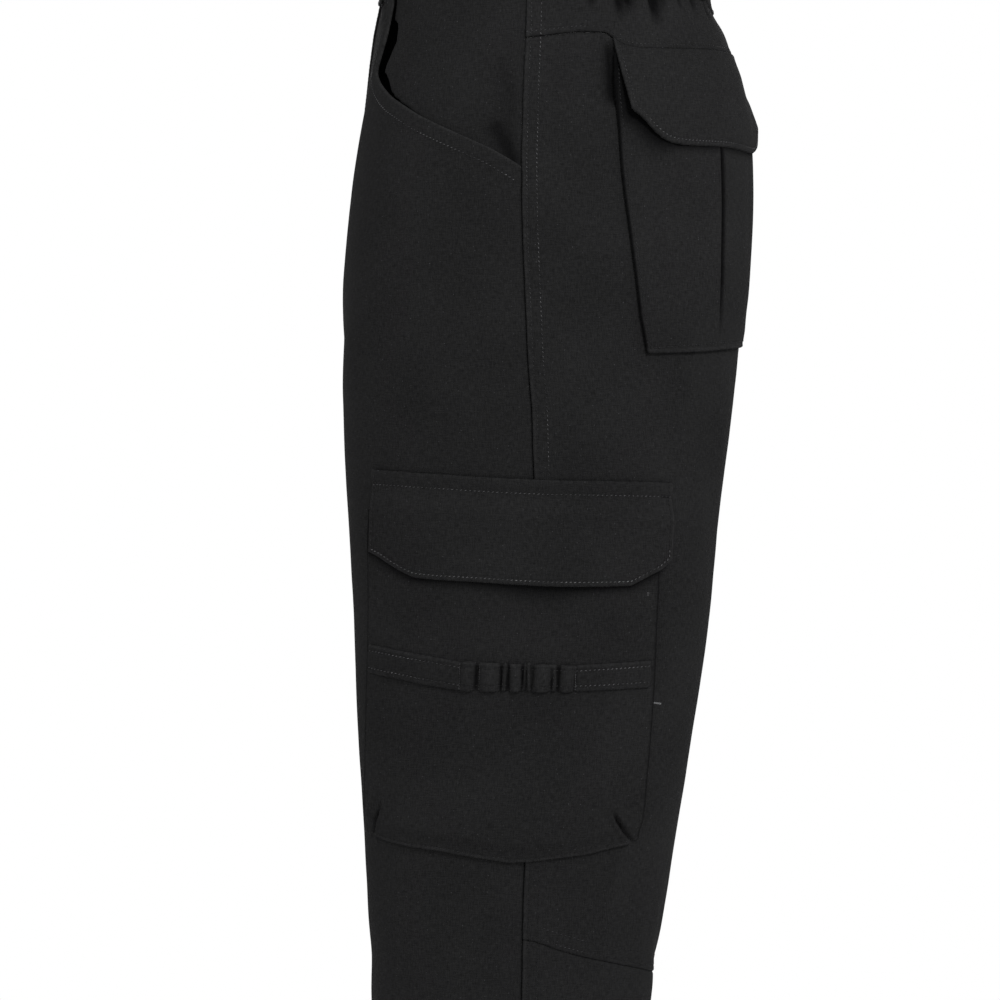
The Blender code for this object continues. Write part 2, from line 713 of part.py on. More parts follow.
def build_back_pocket():
    places = []
    for drop, half in BACK_POCKET:
        edge = half * MM
        inside = edge - BACK_POCKET_HEM
        offsets = [0.0, PLEAT_HALF]
        offsets += [PLEAT_HALF + (inside - PLEAT_HALF) * part for part in BACK_POCKET_LINES]
        offsets += [inside, edge]
        row = [-offset for offset in reversed(offsets[1:])] + offsets
        places.append([(drop * MM, BACK_POCKET_MIDDLE + offset) for offset in row])
    last_row = len(places) - 1
    last_column = len(places[0]) - 1
    pleat = last_column // 2

    def lifts(i, j):
        height = LAY_GAP + BACK_POCKET_PROUD
        if j in (0, last_column):
            height = LAY_GAP
        if i == last_row:
            height = EDGE_LIFT
        elif j == pleat:
            height = EDGE_LIFT + PLEAT_FLOOR
        return height, height + WALL
    add_pair("back_pocket", wall_mesh("back_pocket", places, lifts))


def build_back_flap():
    lines = [(-top, -foot, drop) for top, foot, drop in BACK_FLAP] + list(reversed(BACK_FLAP[:-1]))
    clear = LAY_GAP + BACK_POCKET_PROUD + WALL + FLAP_GAP
    places = []
    for share in BACK_FLAP_SHARES:
        row = []
        for top, foot, foot_drop in lines:
            start = along_table(YOKE_SEAM, 0, 1, BACK_POCKET_MIDDLE + top * MM) + 2 * HALF_SEAM
            offset = (top + (foot - top) * share) * MM
            row.append((start + (foot_drop * MM - start) * share, BACK_POCKET_MIDDLE + offset))
        places.append(row)

    def lifts(i, j):
        share = BACK_FLAP_SHARES[i]
        height = EDGE_LIFT if i == 0 else clear + FLAP_FLARE * share ** 2
        return height, height + WALL
    add_pair("back_flap", wall_mesh("back_flap", places, lifts))


def cargo_height(i, j):
    """Height of the cargo pocket's inner face: low along its sides and foot, open at the top."""
    if i == len(CARGO_SHARES) - 1:
        return EDGE_LIFT
    if j in (0, len(CARGO_POCKET) - 1):
        return LAY_GAP
    return LAY_GAP + CARGO_PROUD


def build_cargo_pocket():
    places = [[((CARGO_TOP + (foot - CARGO_TOP) * share) * MM, reach * MM)
               for reach, foot in CARGO_POCKET] for share in CARGO_SHARES]
    add_pair("cargo_pocket", wall_mesh(
        "cargo_pocket", places, lambda i, j: (cargo_height(i, j), cargo_height(i, j) + WALL)))


def build_cargo_flap():
    clear = LAY_GAP + CARGO_PROUD + WALL + FLAP_GAP
    places = []
    for share in CARGO_FLAP_SHARES:
        places.append([((top + (foot - top) * share) * MM,
                        (reach_top + (reach_foot - reach_top) * share) * MM)
                       for reach_top, reach_foot, top, foot in CARGO_FLAP])

    def lifts(i, j):
        share = CARGO_FLAP_SHARES[i]
        height = EDGE_LIFT if i == 0 else clear + FLAP_FLARE * share ** 2
        return height, height + WALL
    add_pair("cargo_flap", wall_mesh("cargo_flap", places, lifts))


def strap_line():
    """Reach and extra height along the strap: flat, gathered into bulges, and flat again."""
    line = [(row[0], 0.0) for row in STRAP[:ELASTIC_FIRST]]
    for (tack, height), (following, _) in zip(BULGES, BULGES[1:]):
        line += [(tack + (following - tack) * part, height * rise) for part, rise in BULGE_SHAPE]
    return line + [(row[0], 0.0) for row in STRAP[ELASTIC_LAST:]]


def build_strap():
    """The strap over the pocket, drawn together between its tacks by an elastic inside it."""
    on_pocket = LAY_GAP + CARGO_PROUD + WALL + LAY_GAP
    line = strap_line()
    places = []
    for share in (0.0, 0.5, 1.0):
        row = []
        for reach, _ in line:
            upper = along_table(STRAP, 0, 1, reach * MM)
            lower = along_table(STRAP, 0, 2, reach * MM)
            row.append((upper + (lower - upper) * share, reach * MM))
        places.append(row)

    def lifts(i, j):
        height = on_pocket + line[j][1] * MM
        return height, height + WALL
    add_pair("cargo_strap", wall_mesh("cargo_strap", places, lifts))


# ---------------------------------------------------------------- the whole garment
def build():
    for leftover in list(bpy.data.objects):
        bpy.data.objects.remove(leftover, do_unlink=True)
    build_front()
    build_back()
    build_yoke()
    build_waistband()
    build_fly()
    build_loops()
    build_button()
    build_back_pocket()
    build_back_flap()
    build_cargo_pocket()
    build_cargo_flap()
    build_strap()


build()
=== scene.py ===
# %% [markdown]
# # Cargo trousers, from flat solids to cloth
#
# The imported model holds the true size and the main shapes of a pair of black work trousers.  Here
# each of its pieces gets a finer stand-in: a thin shell of cloth with creases, rolled seams,
# gathers, topstitching and a woven finish.  Everything stays in the model's own place, in metres,
# with +Z up, the front towards -Y and the wearer's left at +X.

# %% Load the frame and keep its box
import json
import math

import bpy
import numpy as np
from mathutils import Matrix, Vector
from mathutils.bvhtree import BVHTree

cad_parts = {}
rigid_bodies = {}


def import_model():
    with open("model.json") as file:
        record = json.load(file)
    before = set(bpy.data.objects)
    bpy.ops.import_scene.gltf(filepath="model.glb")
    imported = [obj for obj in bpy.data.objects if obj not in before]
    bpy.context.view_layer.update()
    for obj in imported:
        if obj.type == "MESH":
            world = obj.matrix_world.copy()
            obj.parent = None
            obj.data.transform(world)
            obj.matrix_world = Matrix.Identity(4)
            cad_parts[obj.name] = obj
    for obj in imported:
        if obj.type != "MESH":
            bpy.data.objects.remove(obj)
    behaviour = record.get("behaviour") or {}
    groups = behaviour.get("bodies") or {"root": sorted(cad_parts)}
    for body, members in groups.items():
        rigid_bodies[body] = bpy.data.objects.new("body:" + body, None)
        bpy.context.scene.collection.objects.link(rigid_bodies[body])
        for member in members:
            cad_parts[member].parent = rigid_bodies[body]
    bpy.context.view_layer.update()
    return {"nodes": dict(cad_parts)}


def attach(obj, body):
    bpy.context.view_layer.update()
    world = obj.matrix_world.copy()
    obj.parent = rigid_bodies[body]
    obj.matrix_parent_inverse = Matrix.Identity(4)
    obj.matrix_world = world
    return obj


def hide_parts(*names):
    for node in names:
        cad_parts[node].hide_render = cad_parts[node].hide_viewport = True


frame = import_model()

scene = bpy.context.scene
SIDES = ((1, "left"), (-1, "right"))  # sign of x on each leg, and its name
print("solids in the frame:", len(frame["nodes"]))

# %% [markdown]
# ## The body surface
#
# Every piece of cloth lies on one smooth surface, the shape of the wearer who isn't there.  A place
# on it has a drop, the height below the waistband seam, and a reach, the distance along the cloth
# from the side seam: negative towards the front, positive towards the back.  A cutter thinks in
# the same two measures, so pockets and seams are placed with them too.  The table has one row for
# each level, and the sections between its rows are read from a smooth curve.

# %% The section table
MM = 0.001
SECTION_COLUMNS = ("drop", "front", "back", "outer", "side", "crown", "inner", "inner_drop",
                   "front_in", "back_in")
SECTIONS = (
    (-40, -109.5, 110.5, 151, -11.5, 18, 0.15, -40, -109.5, 110.5),
    (0, -112.6, 114.6, 155, -12, 20, 0.15, 0, -112.6, 114.6),
    (35, -117, 126.3, 163, -13, 32, 0.15, 35, -116.8, 126),
    (70, -121.2, 132.1, 172, -14.5, 45, 0.15, 70, -120, 131),
    (110, -126.1, 134.3, 181.5, -15, 58, 0.15, 110, -122, 131.5),
    (150, -129.8, 132.9, 187, -14.2, 70, 0.15, 151, -120.5, 126.5),
    (190, -132, 129.7, 189, -12.6, 80, 0.15, 194, -112, 116),
    (215, -132.4, 127.2, 189.4, -11.5, 85, 0.15, 224, -96, 99),
    (235, -132.4, 125, 189.2, -10.6, 89, 0.15, 247, -68, 70),
    (250, -132.2, 123.4, 188.7, -9.6, 92, 0.15, 259, -36, 37),
    (264, -131.7, 121.8, 188, -8.4, 94, 0.6, 265, -1, -1),
    (290, -130.7, 118.9, 186.3, -6.2, 95, 2.2, 284, -3, -3),
    (330, -128.8, 114.6, 183.2, -3, 95, 4.8, 326, -5, -5),
    (380, -126.3, 109.2, 179.4, -2, 95, 8.6, 378, -8, -8),
    (440, -123.5, 101.7, 175, -4, 95, 13, 440, -11, -11),
    (500, -120.4, 92, 171, -8, 95, 18, 500, -14, -14),
    (560, -116.8, 82.2, 167, -13.5, 95, 22, 560, -17, -17),
    (643, -113.3, 70.3, 162, -15.5, 94, 26.2, 643, -21, -21),
    (720, -111.4, 62.6, 158.8, -18, 94, 29.8, 720, -23.5, -23.5),
    (820, -109.6, 57.8, 156.6, -21, 95, 33.4, 820, -25, -25),
    (930, -108, 56, 155.4, -23, 96, 36.6, 930, -25.5, -25.5),
    (1040, -107, 56, 155, -24, 97, 39, 1040, -25.5, -25.5),
)
BAND_HEIGHT = 40 * MM
CROTCH_DROP = 264 * MM  # from here down the section closes into a leg
SQUARENESS = 2.3  # 2 is an ellipse, more is flatter at the sides
LEVEL_STEP = 2 * MM
LEVELS = np.arange(-44, 1046, 2) * MM
QUARTER_STEPS = 64
PART_STEPS = 160  # columns of the surface in the front, and again in the back
SAG_PART = 0.6  # part of a level, from its inner edge, that dips to the crotch


def smooth_curve(places, values, wanted):
    """A smooth curve through the rows of a table, read at the wanted places."""
    slopes = np.gradient(values, places)
    row = np.clip(np.searchsorted(places, wanted) - 1, 0, len(places) - 2)
    span = places[row + 1] - places[row]
    t = (wanted - places[row]) / span
    start = values[row] * (1 + 2 * t) * (1 - t) ** 2 + slopes[row] * span * t * (1 - t) ** 2
    end = values[row + 1] * t * t * (3 - 2 * t) + slopes[row + 1] * span * t * t * (t - 1)
    return start + end


def read_table(table, places):
    """The second column of a table, read in straight lines at places of the first."""
    return np.interp(places, *np.array(table, float).T)


def section_lines():
    """Distance along, and the points of, the section at every level."""
    table = np.array(SECTIONS) * MM
    row = {name: smooth_curve(table[:, 0], table[:, k], LEVELS)[:, None]
           for k, name in enumerate(SECTION_COLUMNS)}
    below = LEVELS[:, None] > CROTCH_DROP
    inseam = (row["front_in"] + row["back_in"]) / 2
    row["front_in"] = np.where(below, inseam, row["front_in"])
    row["back_in"] = np.where(below, inseam, row["back_in"])
    turn = np.linspace(0.0, math.pi / 2, QUARTER_STEPS + 1)[None, :]
    rise = np.sin(turn) ** (2.0 / SQUARENESS)
    fall = np.abs(np.cos(turn)) ** (2.0 / SQUARENESS)
    inward = row["inner"] - row["crown"]
    outward = row["outer"] - row["crown"]
    quarters = (
        (row["crown"] + inward * fall, row["front_in"] + (row["front"] - row["front_in"]) * rise),
        (row["crown"] + outward * rise, row["side"] + (row["front"] - row["side"]) * fall),
        (row["crown"] + outward * fall, row["side"] + (row["back"] - row["side"]) * rise),
        (row["crown"] + inward * rise, row["back_in"] + (row["back"] - row["back_in"]) * fall),
    )
    xs = np.concatenate([q[0][:, 1:] if k else q[0] for k, q in enumerate(quarters)], axis=1)
    ys = np.concatenate([q[1][:, 1:] if k else q[1] for k, q in enumerate(quarters)], axis=1)
    along = np.concatenate([np.zeros((len(LEVELS), 1)),
                            np.cumsum(np.hypot(np.diff(xs), np.diff(ys)), axis=1)], axis=1)
    seam = along[:, 2 * QUARTER_STEPS, None]
    whole = along[:, -1:]
    edge = np.minimum(along / seam, (whole - along) / (whole - seam))
    sag = np.clip(1 - edge / SAG_PART, 0.0, 1.0) ** 2
    drops = LEVELS[:, None]
    zs = -BAND_HEIGHT / 2 - (drops + (row["inner_drop"] - drops) * sag)
    return along, seam[:, 0], whole[:, 0], xs, ys, zs


def body_table():
    """Points and outward directions of the surface, by level and part, and both lengths."""
    along, seam, whole, xs, ys, zs = section_lines()
    parts = np.linspace(-1.0, 1.0, 2 * PART_STEPS + 1)
    points = np.empty((len(LEVELS), len(parts), 3))
    for level in range(len(LEVELS)):
        reach = np.where(parts < 0, parts * seam[level], parts * (whole[level] - seam[level]))
        for axis, values in enumerate((xs, ys, zs)):
            points[level, :, axis] = np.interp(reach + seam[level], along[level], values[level])
    before = np.roll(points, 1, axis=1)
    after = np.roll(points, -1, axis=1)
    mirror = np.array([-1.0, 1.0, 1.0])
    leg = LEVELS[:, None] >= CROTCH_DROP
    before[:, 0] = np.where(leg, points[:, -2], points[:, 1] * mirror)
    after[:, -1] = np.where(leg, points[:, 1], points[:, -2] * mirror)
    down = np.gradient(points, axis=0)
    outward = np.cross(down, after - before)
    outward /= np.linalg.norm(outward, axis=2, keepdims=True)
    return np.concatenate([points, outward], axis=2), seam, whole - seam


BODY, FRONT_LENGTHS, BACK_LENGTHS = body_table()


def front_length(drop):
    """Reach from the side seam to the centre front or, on the leg, to the inseam."""
    return np.interp(drop, LEVELS, FRONT_LENGTHS)


def back_length(drop):
    """Reach from the side seam to the centre back or, on the leg, to the inseam."""
    return np.interp(drop, LEVELS, BACK_LENGTHS)


def folded_part(drop, reach):
    """Part of the way from the side seam to the inner edge, turned back past it, and the side."""
    part = np.where(reach < 0, reach / front_length(drop), reach / back_length(drop))
    over = np.abs(part) > 1
    return np.where(over, 2 * np.sign(part) - part, part), np.where(over, -1.0, 1.0)


def body(drop, reach):
    """Points and outward directions of the surface at arrays of drops and reaches."""
    drop, reach = np.broadcast_arrays(np.asarray(drop, float), np.asarray(reach, float))
    part, side = folded_part(drop, reach)
    level = np.clip((drop - LEVELS[0]) / LEVEL_STEP, 0, len(LEVELS) - 1.001)
    column = np.clip((part + 1) * PART_STEPS, 0, 2 * PART_STEPS - 0.001)
    i, j = level.astype(int), column.astype(int)
    a, b = (level - i)[..., None], (column - j)[..., None]
    found = ((BODY[i, j] * (1 - b) + BODY[i, j + 1] * b) * (1 - a)
             + (BODY[i + 1, j] * (1 - b) + BODY[i + 1, j + 1] * b) * a)
    found[..., 0] *= side
    found[..., 3] *= side
    outward = found[..., 3:] / np.linalg.norm(found[..., 3:], axis=-1, keepdims=True)
    return found[..., :3], outward


def round_at(drop_mm):
    """Length round the body at a drop, both in millimetres."""
    return 2000 * (front_length(drop_mm * MM) + back_length(drop_mm * MM))


print("waist %.0f mm round, seat %.0f mm, thigh %.0f mm, hem %.0f mm" % (
    round_at(0), round_at(190), round_at(290) / 2, round_at(1040) / 2))

# %% [markdown]
# ## Unevenness
#
# Real cloth never repeats.  Smooth random values, always from the same seeds, vary how deep a
# crease is, how a seam puckers and how flat a panel lies, so two runs give the same trousers.

# %% Soft steps and smooth random values
LATTICE = 128


def soft(value, start, end):
    """0 before start, 1 after end, smooth in between."""
    t = np.clip((value - start) / (end - start), 0.0, 1.0)
    return t * t * (3 - 2 * t)


def bell(distance, width):
    """1 in the middle, falling off smoothly to both sides."""
    return np.exp(-(distance / width) ** 2)


def uneven(seed, u, v=0.0):
    """Smooth random values from -1 to 1; u and v are counted in bumps."""
    grid = np.random.default_rng(seed).uniform(-1.0, 1.0, (LATTICE, LATTICE))
    u, v = np.broadcast_arrays(np.asarray(u, float), np.asarray(v, float))
    i, j = np.floor(u).astype(int), np.floor(v).astype(int)
    a, b = u - i, v - j
    a, b = a * a * (3 - 2 * a), b * b * (3 - 2 * b)
    i0, i1, j0, j1 = i % LATTICE, (i + 1) % LATTICE, j % LATTICE, (j + 1) % LATTICE
    return ((grid[i0, j0] * (1 - a) + grid[i1, j0] * a) * (1 - b)
            + (grid[i0, j1] * (1 - a) + grid[i1, j1] * a) * b)


print("one row of random values:", np.round(uneven(1, np.linspace(0, 3, 5)), 2))

# %% [markdown]
# ## Creases and gathers
#
# The broad troughs and the gathers under the elastic are those of the solids.  On top come the
# smaller creases that wear and hanging leave.  Each is a line from one place to another with a
# width, a depth and a bow to one side; a negative depth makes a soft ridge.  They were placed one
# by one: drag lines behind the knee and below the seat, a few at the fly and the crotch, and where
# the hem meets the shoe.  A crease has one steep side and one gentle one, as a real fold has.

# %% The tables of gathers, troughs and creases, in millimetres
GATHERS = (  # reach, half width, depth, length
    (40, 6, 1.4, 15), (66, 8, 3.2, 24), (85, 6, 2.4, 30), (101, 6, 2, 20), (118, 7, 2.8, 25),
    (153, 6, 2.2, 19), (170, 8, 3, 27), (189, 6, 2, 20), (208, 7, 2.8, 25),
)
# Sharper pleats between them, which are deep on the yoke and shallow on the band.
DEEP_GATHERS = (
    (41.5, 2.6, 3.6, 20), (61, 3.6, 5, 26), (68, 2.8, 4.6, 20), (73, 3, -1.2, 30),
    (80, 3, -0.8, 20), (88, 4.4, 5, 30), (95, 2.6, 2.4, 18), (112, 3, 2.6, 17),
    (127, 2.6, 2.8, 18), (146, 3, 3.6, 21), (162, 2.4, 2.4, 14), (181, 3.2, 3.8, 23),
    (199, 2.6, 2.8, 16), (216, 3, 3.2, 20), (233, 2.4, 2.2, 14),
)
BAND_GATHER, BAND_DEEP_GATHER = 0.6, 0.2  # how much of both is left on the band
FOLDS = (  # reach, drop, half length, half width, depth, lean
    (98, 269, 60, 20, 3, 0.5), (-205, 262, 55, 22, 3, -0.7), (250, 300, 60, 22, 3, 0.5),
    (170, 655, 55, 24, 2.5, 1.6), (-190, 660, 60, 26, 2, -1.4), (150, 975, 45, 22, 2, 1.2),
)
# leg (1 left, -1 right, 0 both), from reach and drop, to reach and drop, half width, depth, bow
CREASES = (
    (0, 104, 205, 112, 345, 7, -0.9, 3), (0, 126, 240, 131, 420, 9, 0.9, -4),
    (0, 148, 250, 140, 380, 8, -0.7, 3), (0, 62, 545, 52, 640, 7, -0.9, 4),
    (0, 76, 560, 70, 660, 8, 1, -3), (0, 92, 540, 84, 690, 7, -0.8, 3),
    (0, 112, 575, 128, 640, 9, 1.1, 4), (0, 150, 600, 112, 668, 8, 0.9, -5),
    (0, 188, 590, 134, 690, 10, 1.3, 6), (1, 205, 560, 160, 640, 9, -0.9, 5),
    (-1, 198, 545, 150, 655, 10, -1, -5), (0, 96, 700, 90, 900, 10, -0.7, 4),
    (0, 120, 720, 126, 930, 12, 0.9, -5), (1, 160, 300, 176, 470, 12, 1.2, 6),
    (-1, 166, 320, 172, 500, 12, 1.1, -6), (0, 215, 205, 262, 262, 8, 1.6, 6),
    (1, 190, 228, 246, 284, 9, 1.3, -7), (-1, 184, 236, 240, 300, 9, 1.4, 7),
    (0, 236, 262, 284, 285, 7, 1.2, 3), (0, 214, 316, 268, 296, 9, -1, -5),
    (1, 232, 345, 280, 312, 9, 1.1, -5), (-1, 226, 360, 282, 318, 9, 1.1, 5),
    (0, -196, 214, -262, 262, 7, 1.5, -5), (1, -176, 236, -244, 284, 8, 1.2, 6),
    (-1, -170, 228, -238, 280, 8, 1.3, -6), (0, -214, 292, -282, 276, 7, 1.1, 4),
    (1, -206, 322, -268, 300, 9, 1, 5), (-1, -198, 334, -262, 306, 9, 1, -5),
    (0, -232, 150, -196, 196, 8, -0.7, 4), (1, -160, 300, -178, 480, 13, 0.8, -6),
    (-1, -166, 320, -170, 520, 13, 0.9, 6), (0, -150, 640, -214, 604, 9, 0.9, 5),
    (1, -148, 700, -206, 668, 10, 0.9, -5), (-1, -140, 716, -200, 676, 10, 1, 5),
    (1, -60, 905, -148, 968, 11, 1.1, 7), (-1, -70, 915, -152, 985, 11, 1.1, -7),
    (0, 60, 962, 148, 926, 11, 1.2, -6), (1, 40, 1004, 118, 972, 10, 1, 5),
    (-1, 52, 1010, 130, 966, 10, 1, 6), (0, -126, -4, -115, 24, 2.6, 3.2, 1),
    (0, -134, -4, -126, 22, 2.4, 2.6, -1), (0, -142, -4, -136, 18, 2.6, 3, 1),
    (0, 74, 512, 56, 600, 8, -1.6, 3), (0, 62, 540, 44, 604, 8, 1.3, 3),
    (0, 92, 520, 70, 600, 10, 0.9, -4), (0, 116, 190, 100, 330, 8, -1.3, 3),
    (0, 104, 206, 88, 330, 8, 1, 3), (0, 130, 240, 116, 380, 9, 1, -4),
    (0, 18, 34, 22, 120, 5, 0.9, 2), (0, 30, 36, 36, 150, 6, -0.8, -2),
    (0, 44, 34, 45, 110, 5, 0.8, 2), (0, 104, 236, 80, 420, 9, -1.2, 4),
    (0, 90, 250, 68, 470, 9, 0.9, -4),
)
STEEP_SIDE = 0.65  # width of a crease's steep side, as part of the other one's
WANDER, WANDER_RUN = 0.35, 28.0  # a crease strays by this part of its width, once a run, in mm
VARIES, VARIES_RUN = 0.35, 22.0  # and its depth varies by this part


def line_creases(table, leg, drop, reach):
    """Depth of the creases of a table at arrays of places, in metres."""
    depth = np.zeros(np.shape(drop))
    for row, (whose, r0, d0, r1, d1, half_width, deep, bow) in enumerate(table):
        if whose not in (0, leg):
            continue
        length = math.hypot(r1 - r0, d1 - d0)
        ahead = ((r1 - r0) / length, (d1 - d0) / length)
        x, y = reach / MM - r0, drop / MM - d0
        along = x * ahead[0] + y * ahead[1]
        t = along / length
        bend = bow * np.sin(np.pi * np.clip(t, 0, 1))
        across = -x * ahead[1] + y * ahead[0] - bend
        across = across - half_width * WANDER * uneven(300 + row, along / WANDER_RUN)
        width = np.where(across > 0, half_width, half_width * STEEP_SIDE)
        ends = soft(t, -0.12, 0.3) * (1 - soft(t, 0.55, 1.12))
        strength = 1 + VARIES * uneven(500 + 7 * row + leg, along / VARIES_RUN)
        depth += deep * MM * strength * ends * bell(across, width)
    return depth


SMALL_GATHERS = 46
GATHER_FROM, GATHER_TO = 34, 226


def small_gathers(drop, reach):
    """Fine pleats between the main gathers, random in place and strength, the same every run."""
    random = np.random.default_rng(77)
    depth = np.zeros(np.shape(drop))
    for place in np.linspace(GATHER_FROM, GATHER_TO, SMALL_GATHERS):
        place += random.uniform(-1.6, 1.6)
        deep = random.uniform(0.15, 0.75)
        length = random.uniform(7, 17)
        lean = random.uniform(-0.12, 0.12)
        across = (reach / MM - place - lean * drop / MM) / random.uniform(1.2, 1.9)
        fade = np.where(drop < 0, 0.8, 1 - soft(drop / MM, 0, length))
        depth += deep * MM * np.exp(-across ** 2) * fade
    return depth


def deep_gathers(drop, reach):
    """Depth of the sharper pleats under the elastic, in metres."""
    depth = np.zeros(np.shape(drop))
    for place, half_width, deep, length in DEEP_GATHERS:
        fade = np.where(drop < 0, BAND_DEEP_GATHER, 1 - soft(drop, 0.0, length * MM))
        depth += deep * MM * bell(reach / MM - place, half_width) * fade
    return depth


def sunk(drop, reach, leg):
    """How far the cloth lies behind the smooth surface."""
    drop, reach = np.broadcast_arrays(np.asarray(drop, float), np.asarray(reach, float))
    part, _ = folded_part(drop, reach)
    inside = np.where(part < 0, part * front_length(drop), part * back_length(drop))
    depth = small_gathers(drop, inside) + deep_gathers(drop, inside)
    for place, half_width, deep, length in GATHERS:
        fade = np.where(drop < 0, BAND_GATHER, 1 - soft(drop, 0.0, length * MM))
        depth += deep * MM * bell(inside / MM - place, half_width) * fade
    for place, level, half_length, half_width, deep, lean in FOLDS:
        down = (drop / MM - level) / half_length
        across = (reach / MM - place - lean * (drop / MM - level)) / half_width
        depth += deep * MM * np.exp(-down ** 2 - across ** 2)
    depth += line_creases(CREASES, leg, drop, inside)
    flat = soft(drop, 2 * MM, 30 * MM)
    depth += 0.35 * MM * flat * uneven(11 + leg, inside / (38 * MM), drop / (52 * MM))
    depth += 0.12 * MM * flat * uneven(21 + leg, inside / (13 * MM), drop / (17 * MM))
    return depth


# The side seam bows towards the front above the cargo pocket: drop and shift, in millimetres.
SEAM_BOW = ((90, 0), (110, -0.6), (160, -1.2), (272, -1.4), (292, -2.6), (312, -3.7), (330, -3.4),
            (372, 0))
BOW_WIDTH = 48 * MM  # how far from the seam the cloth follows it


def bowed(drop, reach):
    """The reach at which a place lies once the side seam has bowed."""
    shift = read_table(SEAM_BOW, drop / MM) * MM
    return reach + shift * np.exp(-(reach / BOW_WIDTH) ** 2)


# How far the elastic draws the centre back in: drop and depth, in millimetres.
DRAWN_BACK = ((-8, 5), (6, 3.2), (19, 2.4), (46, 3.6), (73, 2.6), (100, 1.5), (127, 2.9),
              (160, 2.3), (207, 2), (245, 0.8), (261, 0))
DRAWN_FRONT = 2.6 * MM  # and the closed fly the front
FRONT_ZONE, BACK_ZONE = (62, 98), (38, 92)  # distances from the centre where that fades out


def drawn_in(drop, reach):
    """How far the elastic and the closed fly draw the band and the seat in, in metres."""
    to_front = np.abs(front_length(drop) + np.minimum(reach, 0)) / MM
    to_back = np.abs(back_length(drop) - np.maximum(reach, 0)) / MM
    front = DRAWN_FRONT * (1 - soft(to_front, *FRONT_ZONE) + 0.5 * bell(to_front, 40)) * (
        1 - soft(drop / MM, 130, 250)) * (1.5 - 0.5 * soft(drop / MM, -6, 24))
    back = smooth_curve(*np.array(DRAWN_BACK).T, np.clip(drop / MM, -8, 261)) * MM
    return front + back * (1 - soft(to_back, *BACK_ZONE))


def cloth(drop, reach, lift, leg):
    """Points and outward directions of the folded cloth, on either leg."""
    reach = bowed(drop, reach)
    points, outward = body(drop, reach)
    lift = lift - drawn_in(drop, reach) - sunk(drop, reach, leg)
    points = points + outward * lift[..., None]
    side = np.array([leg, 1.0, 1.0])
    return points * side, outward * side


print("creases:", len(CREASES), "gathers:", len(GATHERS) + SMALL_GATHERS)

# %% [markdown]
# ## Lines drawn on the cloth
#
# Seams and stitch rows follow lines given by a few places, rounded like a chalk line.  A stitch row
# beside an edge is that edge moved inwards by the presser foot's width.

# %% Lines, distances and insets, all in reach and drop
def run_of(line):
    """Distance along a line to each of its places."""
    return np.concatenate([[0.0], np.cumsum(np.hypot(*np.diff(line, axis=0).T))])


def divided(line, step, least):
    """The line in equal steps, with at least so many places."""
    run = run_of(line)
    wanted = np.linspace(0, run[-1], max(int(run[-1] / step) + 1, least))
    return np.stack([np.interp(wanted, run, line[:, k]) for k in (0, 1)], axis=1)


def chalk(points, step=1.0):
    """A line through (reach, drop) places in millimetres, rounded and evenly divided, in metres."""
    line = divided(np.array(points, float), step, 3)
    for _ in range(3):
        line[1:-1] = (line[:-2] + 2 * line[1:-1] + line[2:]) / 4
    return line * MM


def inset(line, distance):
    """The line moved to its right-hand side, seen with the drop downwards; distance in metres."""
    ahead = np.gradient(line, axis=0)
    ahead /= np.linalg.norm(ahead, axis=1, keepdims=True)
    return line + np.stack([-ahead[:, 1], ahead[:, 0]], axis=1) * distance


def nearest(line, drop, reach):
    """Distance of places from a line, and how far along it the nearest point is."""
    steps = run_of(line)
    best = np.full(np.shape(drop), np.inf)
    along = np.zeros(np.shape(drop))
    for k in range(len(line) - 1):
        (r0, d0), (r1, d1) = line[k], line[k + 1]
        span = (r1 - r0) ** 2 + (d1 - d0) ** 2
        t = np.clip(((reach - r0) * (r1 - r0) + (drop - d0) * (d1 - d0)) / span, 0, 1)
        away = np.hypot(reach - r0 - t * (r1 - r0), drop - d0 - t * (d1 - d0))
        closer = away < best
        best = np.where(closer, away, best)
        along = np.where(closer, steps[k] + t * (steps[k + 1] - steps[k]), along)
    return best, along


def read_line(line, reach):
    """Drop of a line that runs from front to back, at the reaches."""
    return np.interp(reach, line[:, 0], line[:, 1])


print("a chalk line of three places has", len(chalk([(0, 0), (10, 0), (20, 5)])), "points")

# %% [markdown]
# ## A shell of cloth
#
# A panel starts as a grid of places with a lift, the height of its outer face over the body
# surface.  The inner face lies the cloth's thickness below it, and a ring between the two rounds
# the edge, as a folded edge is round.  The grid is close near the edges, where seams roll, and
# wide in the middle.  Each point keeps its reach and drop as a UV, so the weave runs with the
# grain on every piece.

# %% Grids and the shell builder
WALL = 1.2 * MM
SEAM = 0.15 * MM  # half of the gap between two pieces
RIM_PAINTED_SHADE = -0.7  # painted shade along a raw or hidden edge, where pieces meet
EDGE_ROUND = 0.45  # how far an edge bulges, as part of the thickness


def graded(length, step, fine=0.8, margin=14.0):
    """Parts of a length, in millimetres, that are close at both ends and wide in the middle."""
    places = [0.0]
    while places[-1] < length / 2:
        places.append(places[-1] + fine + (step - fine) * min(places[-1] / margin, 1.0))
    half = np.array(places) / places[-1] / 2
    return np.concatenate([half, 1 - half[-2::-1]])


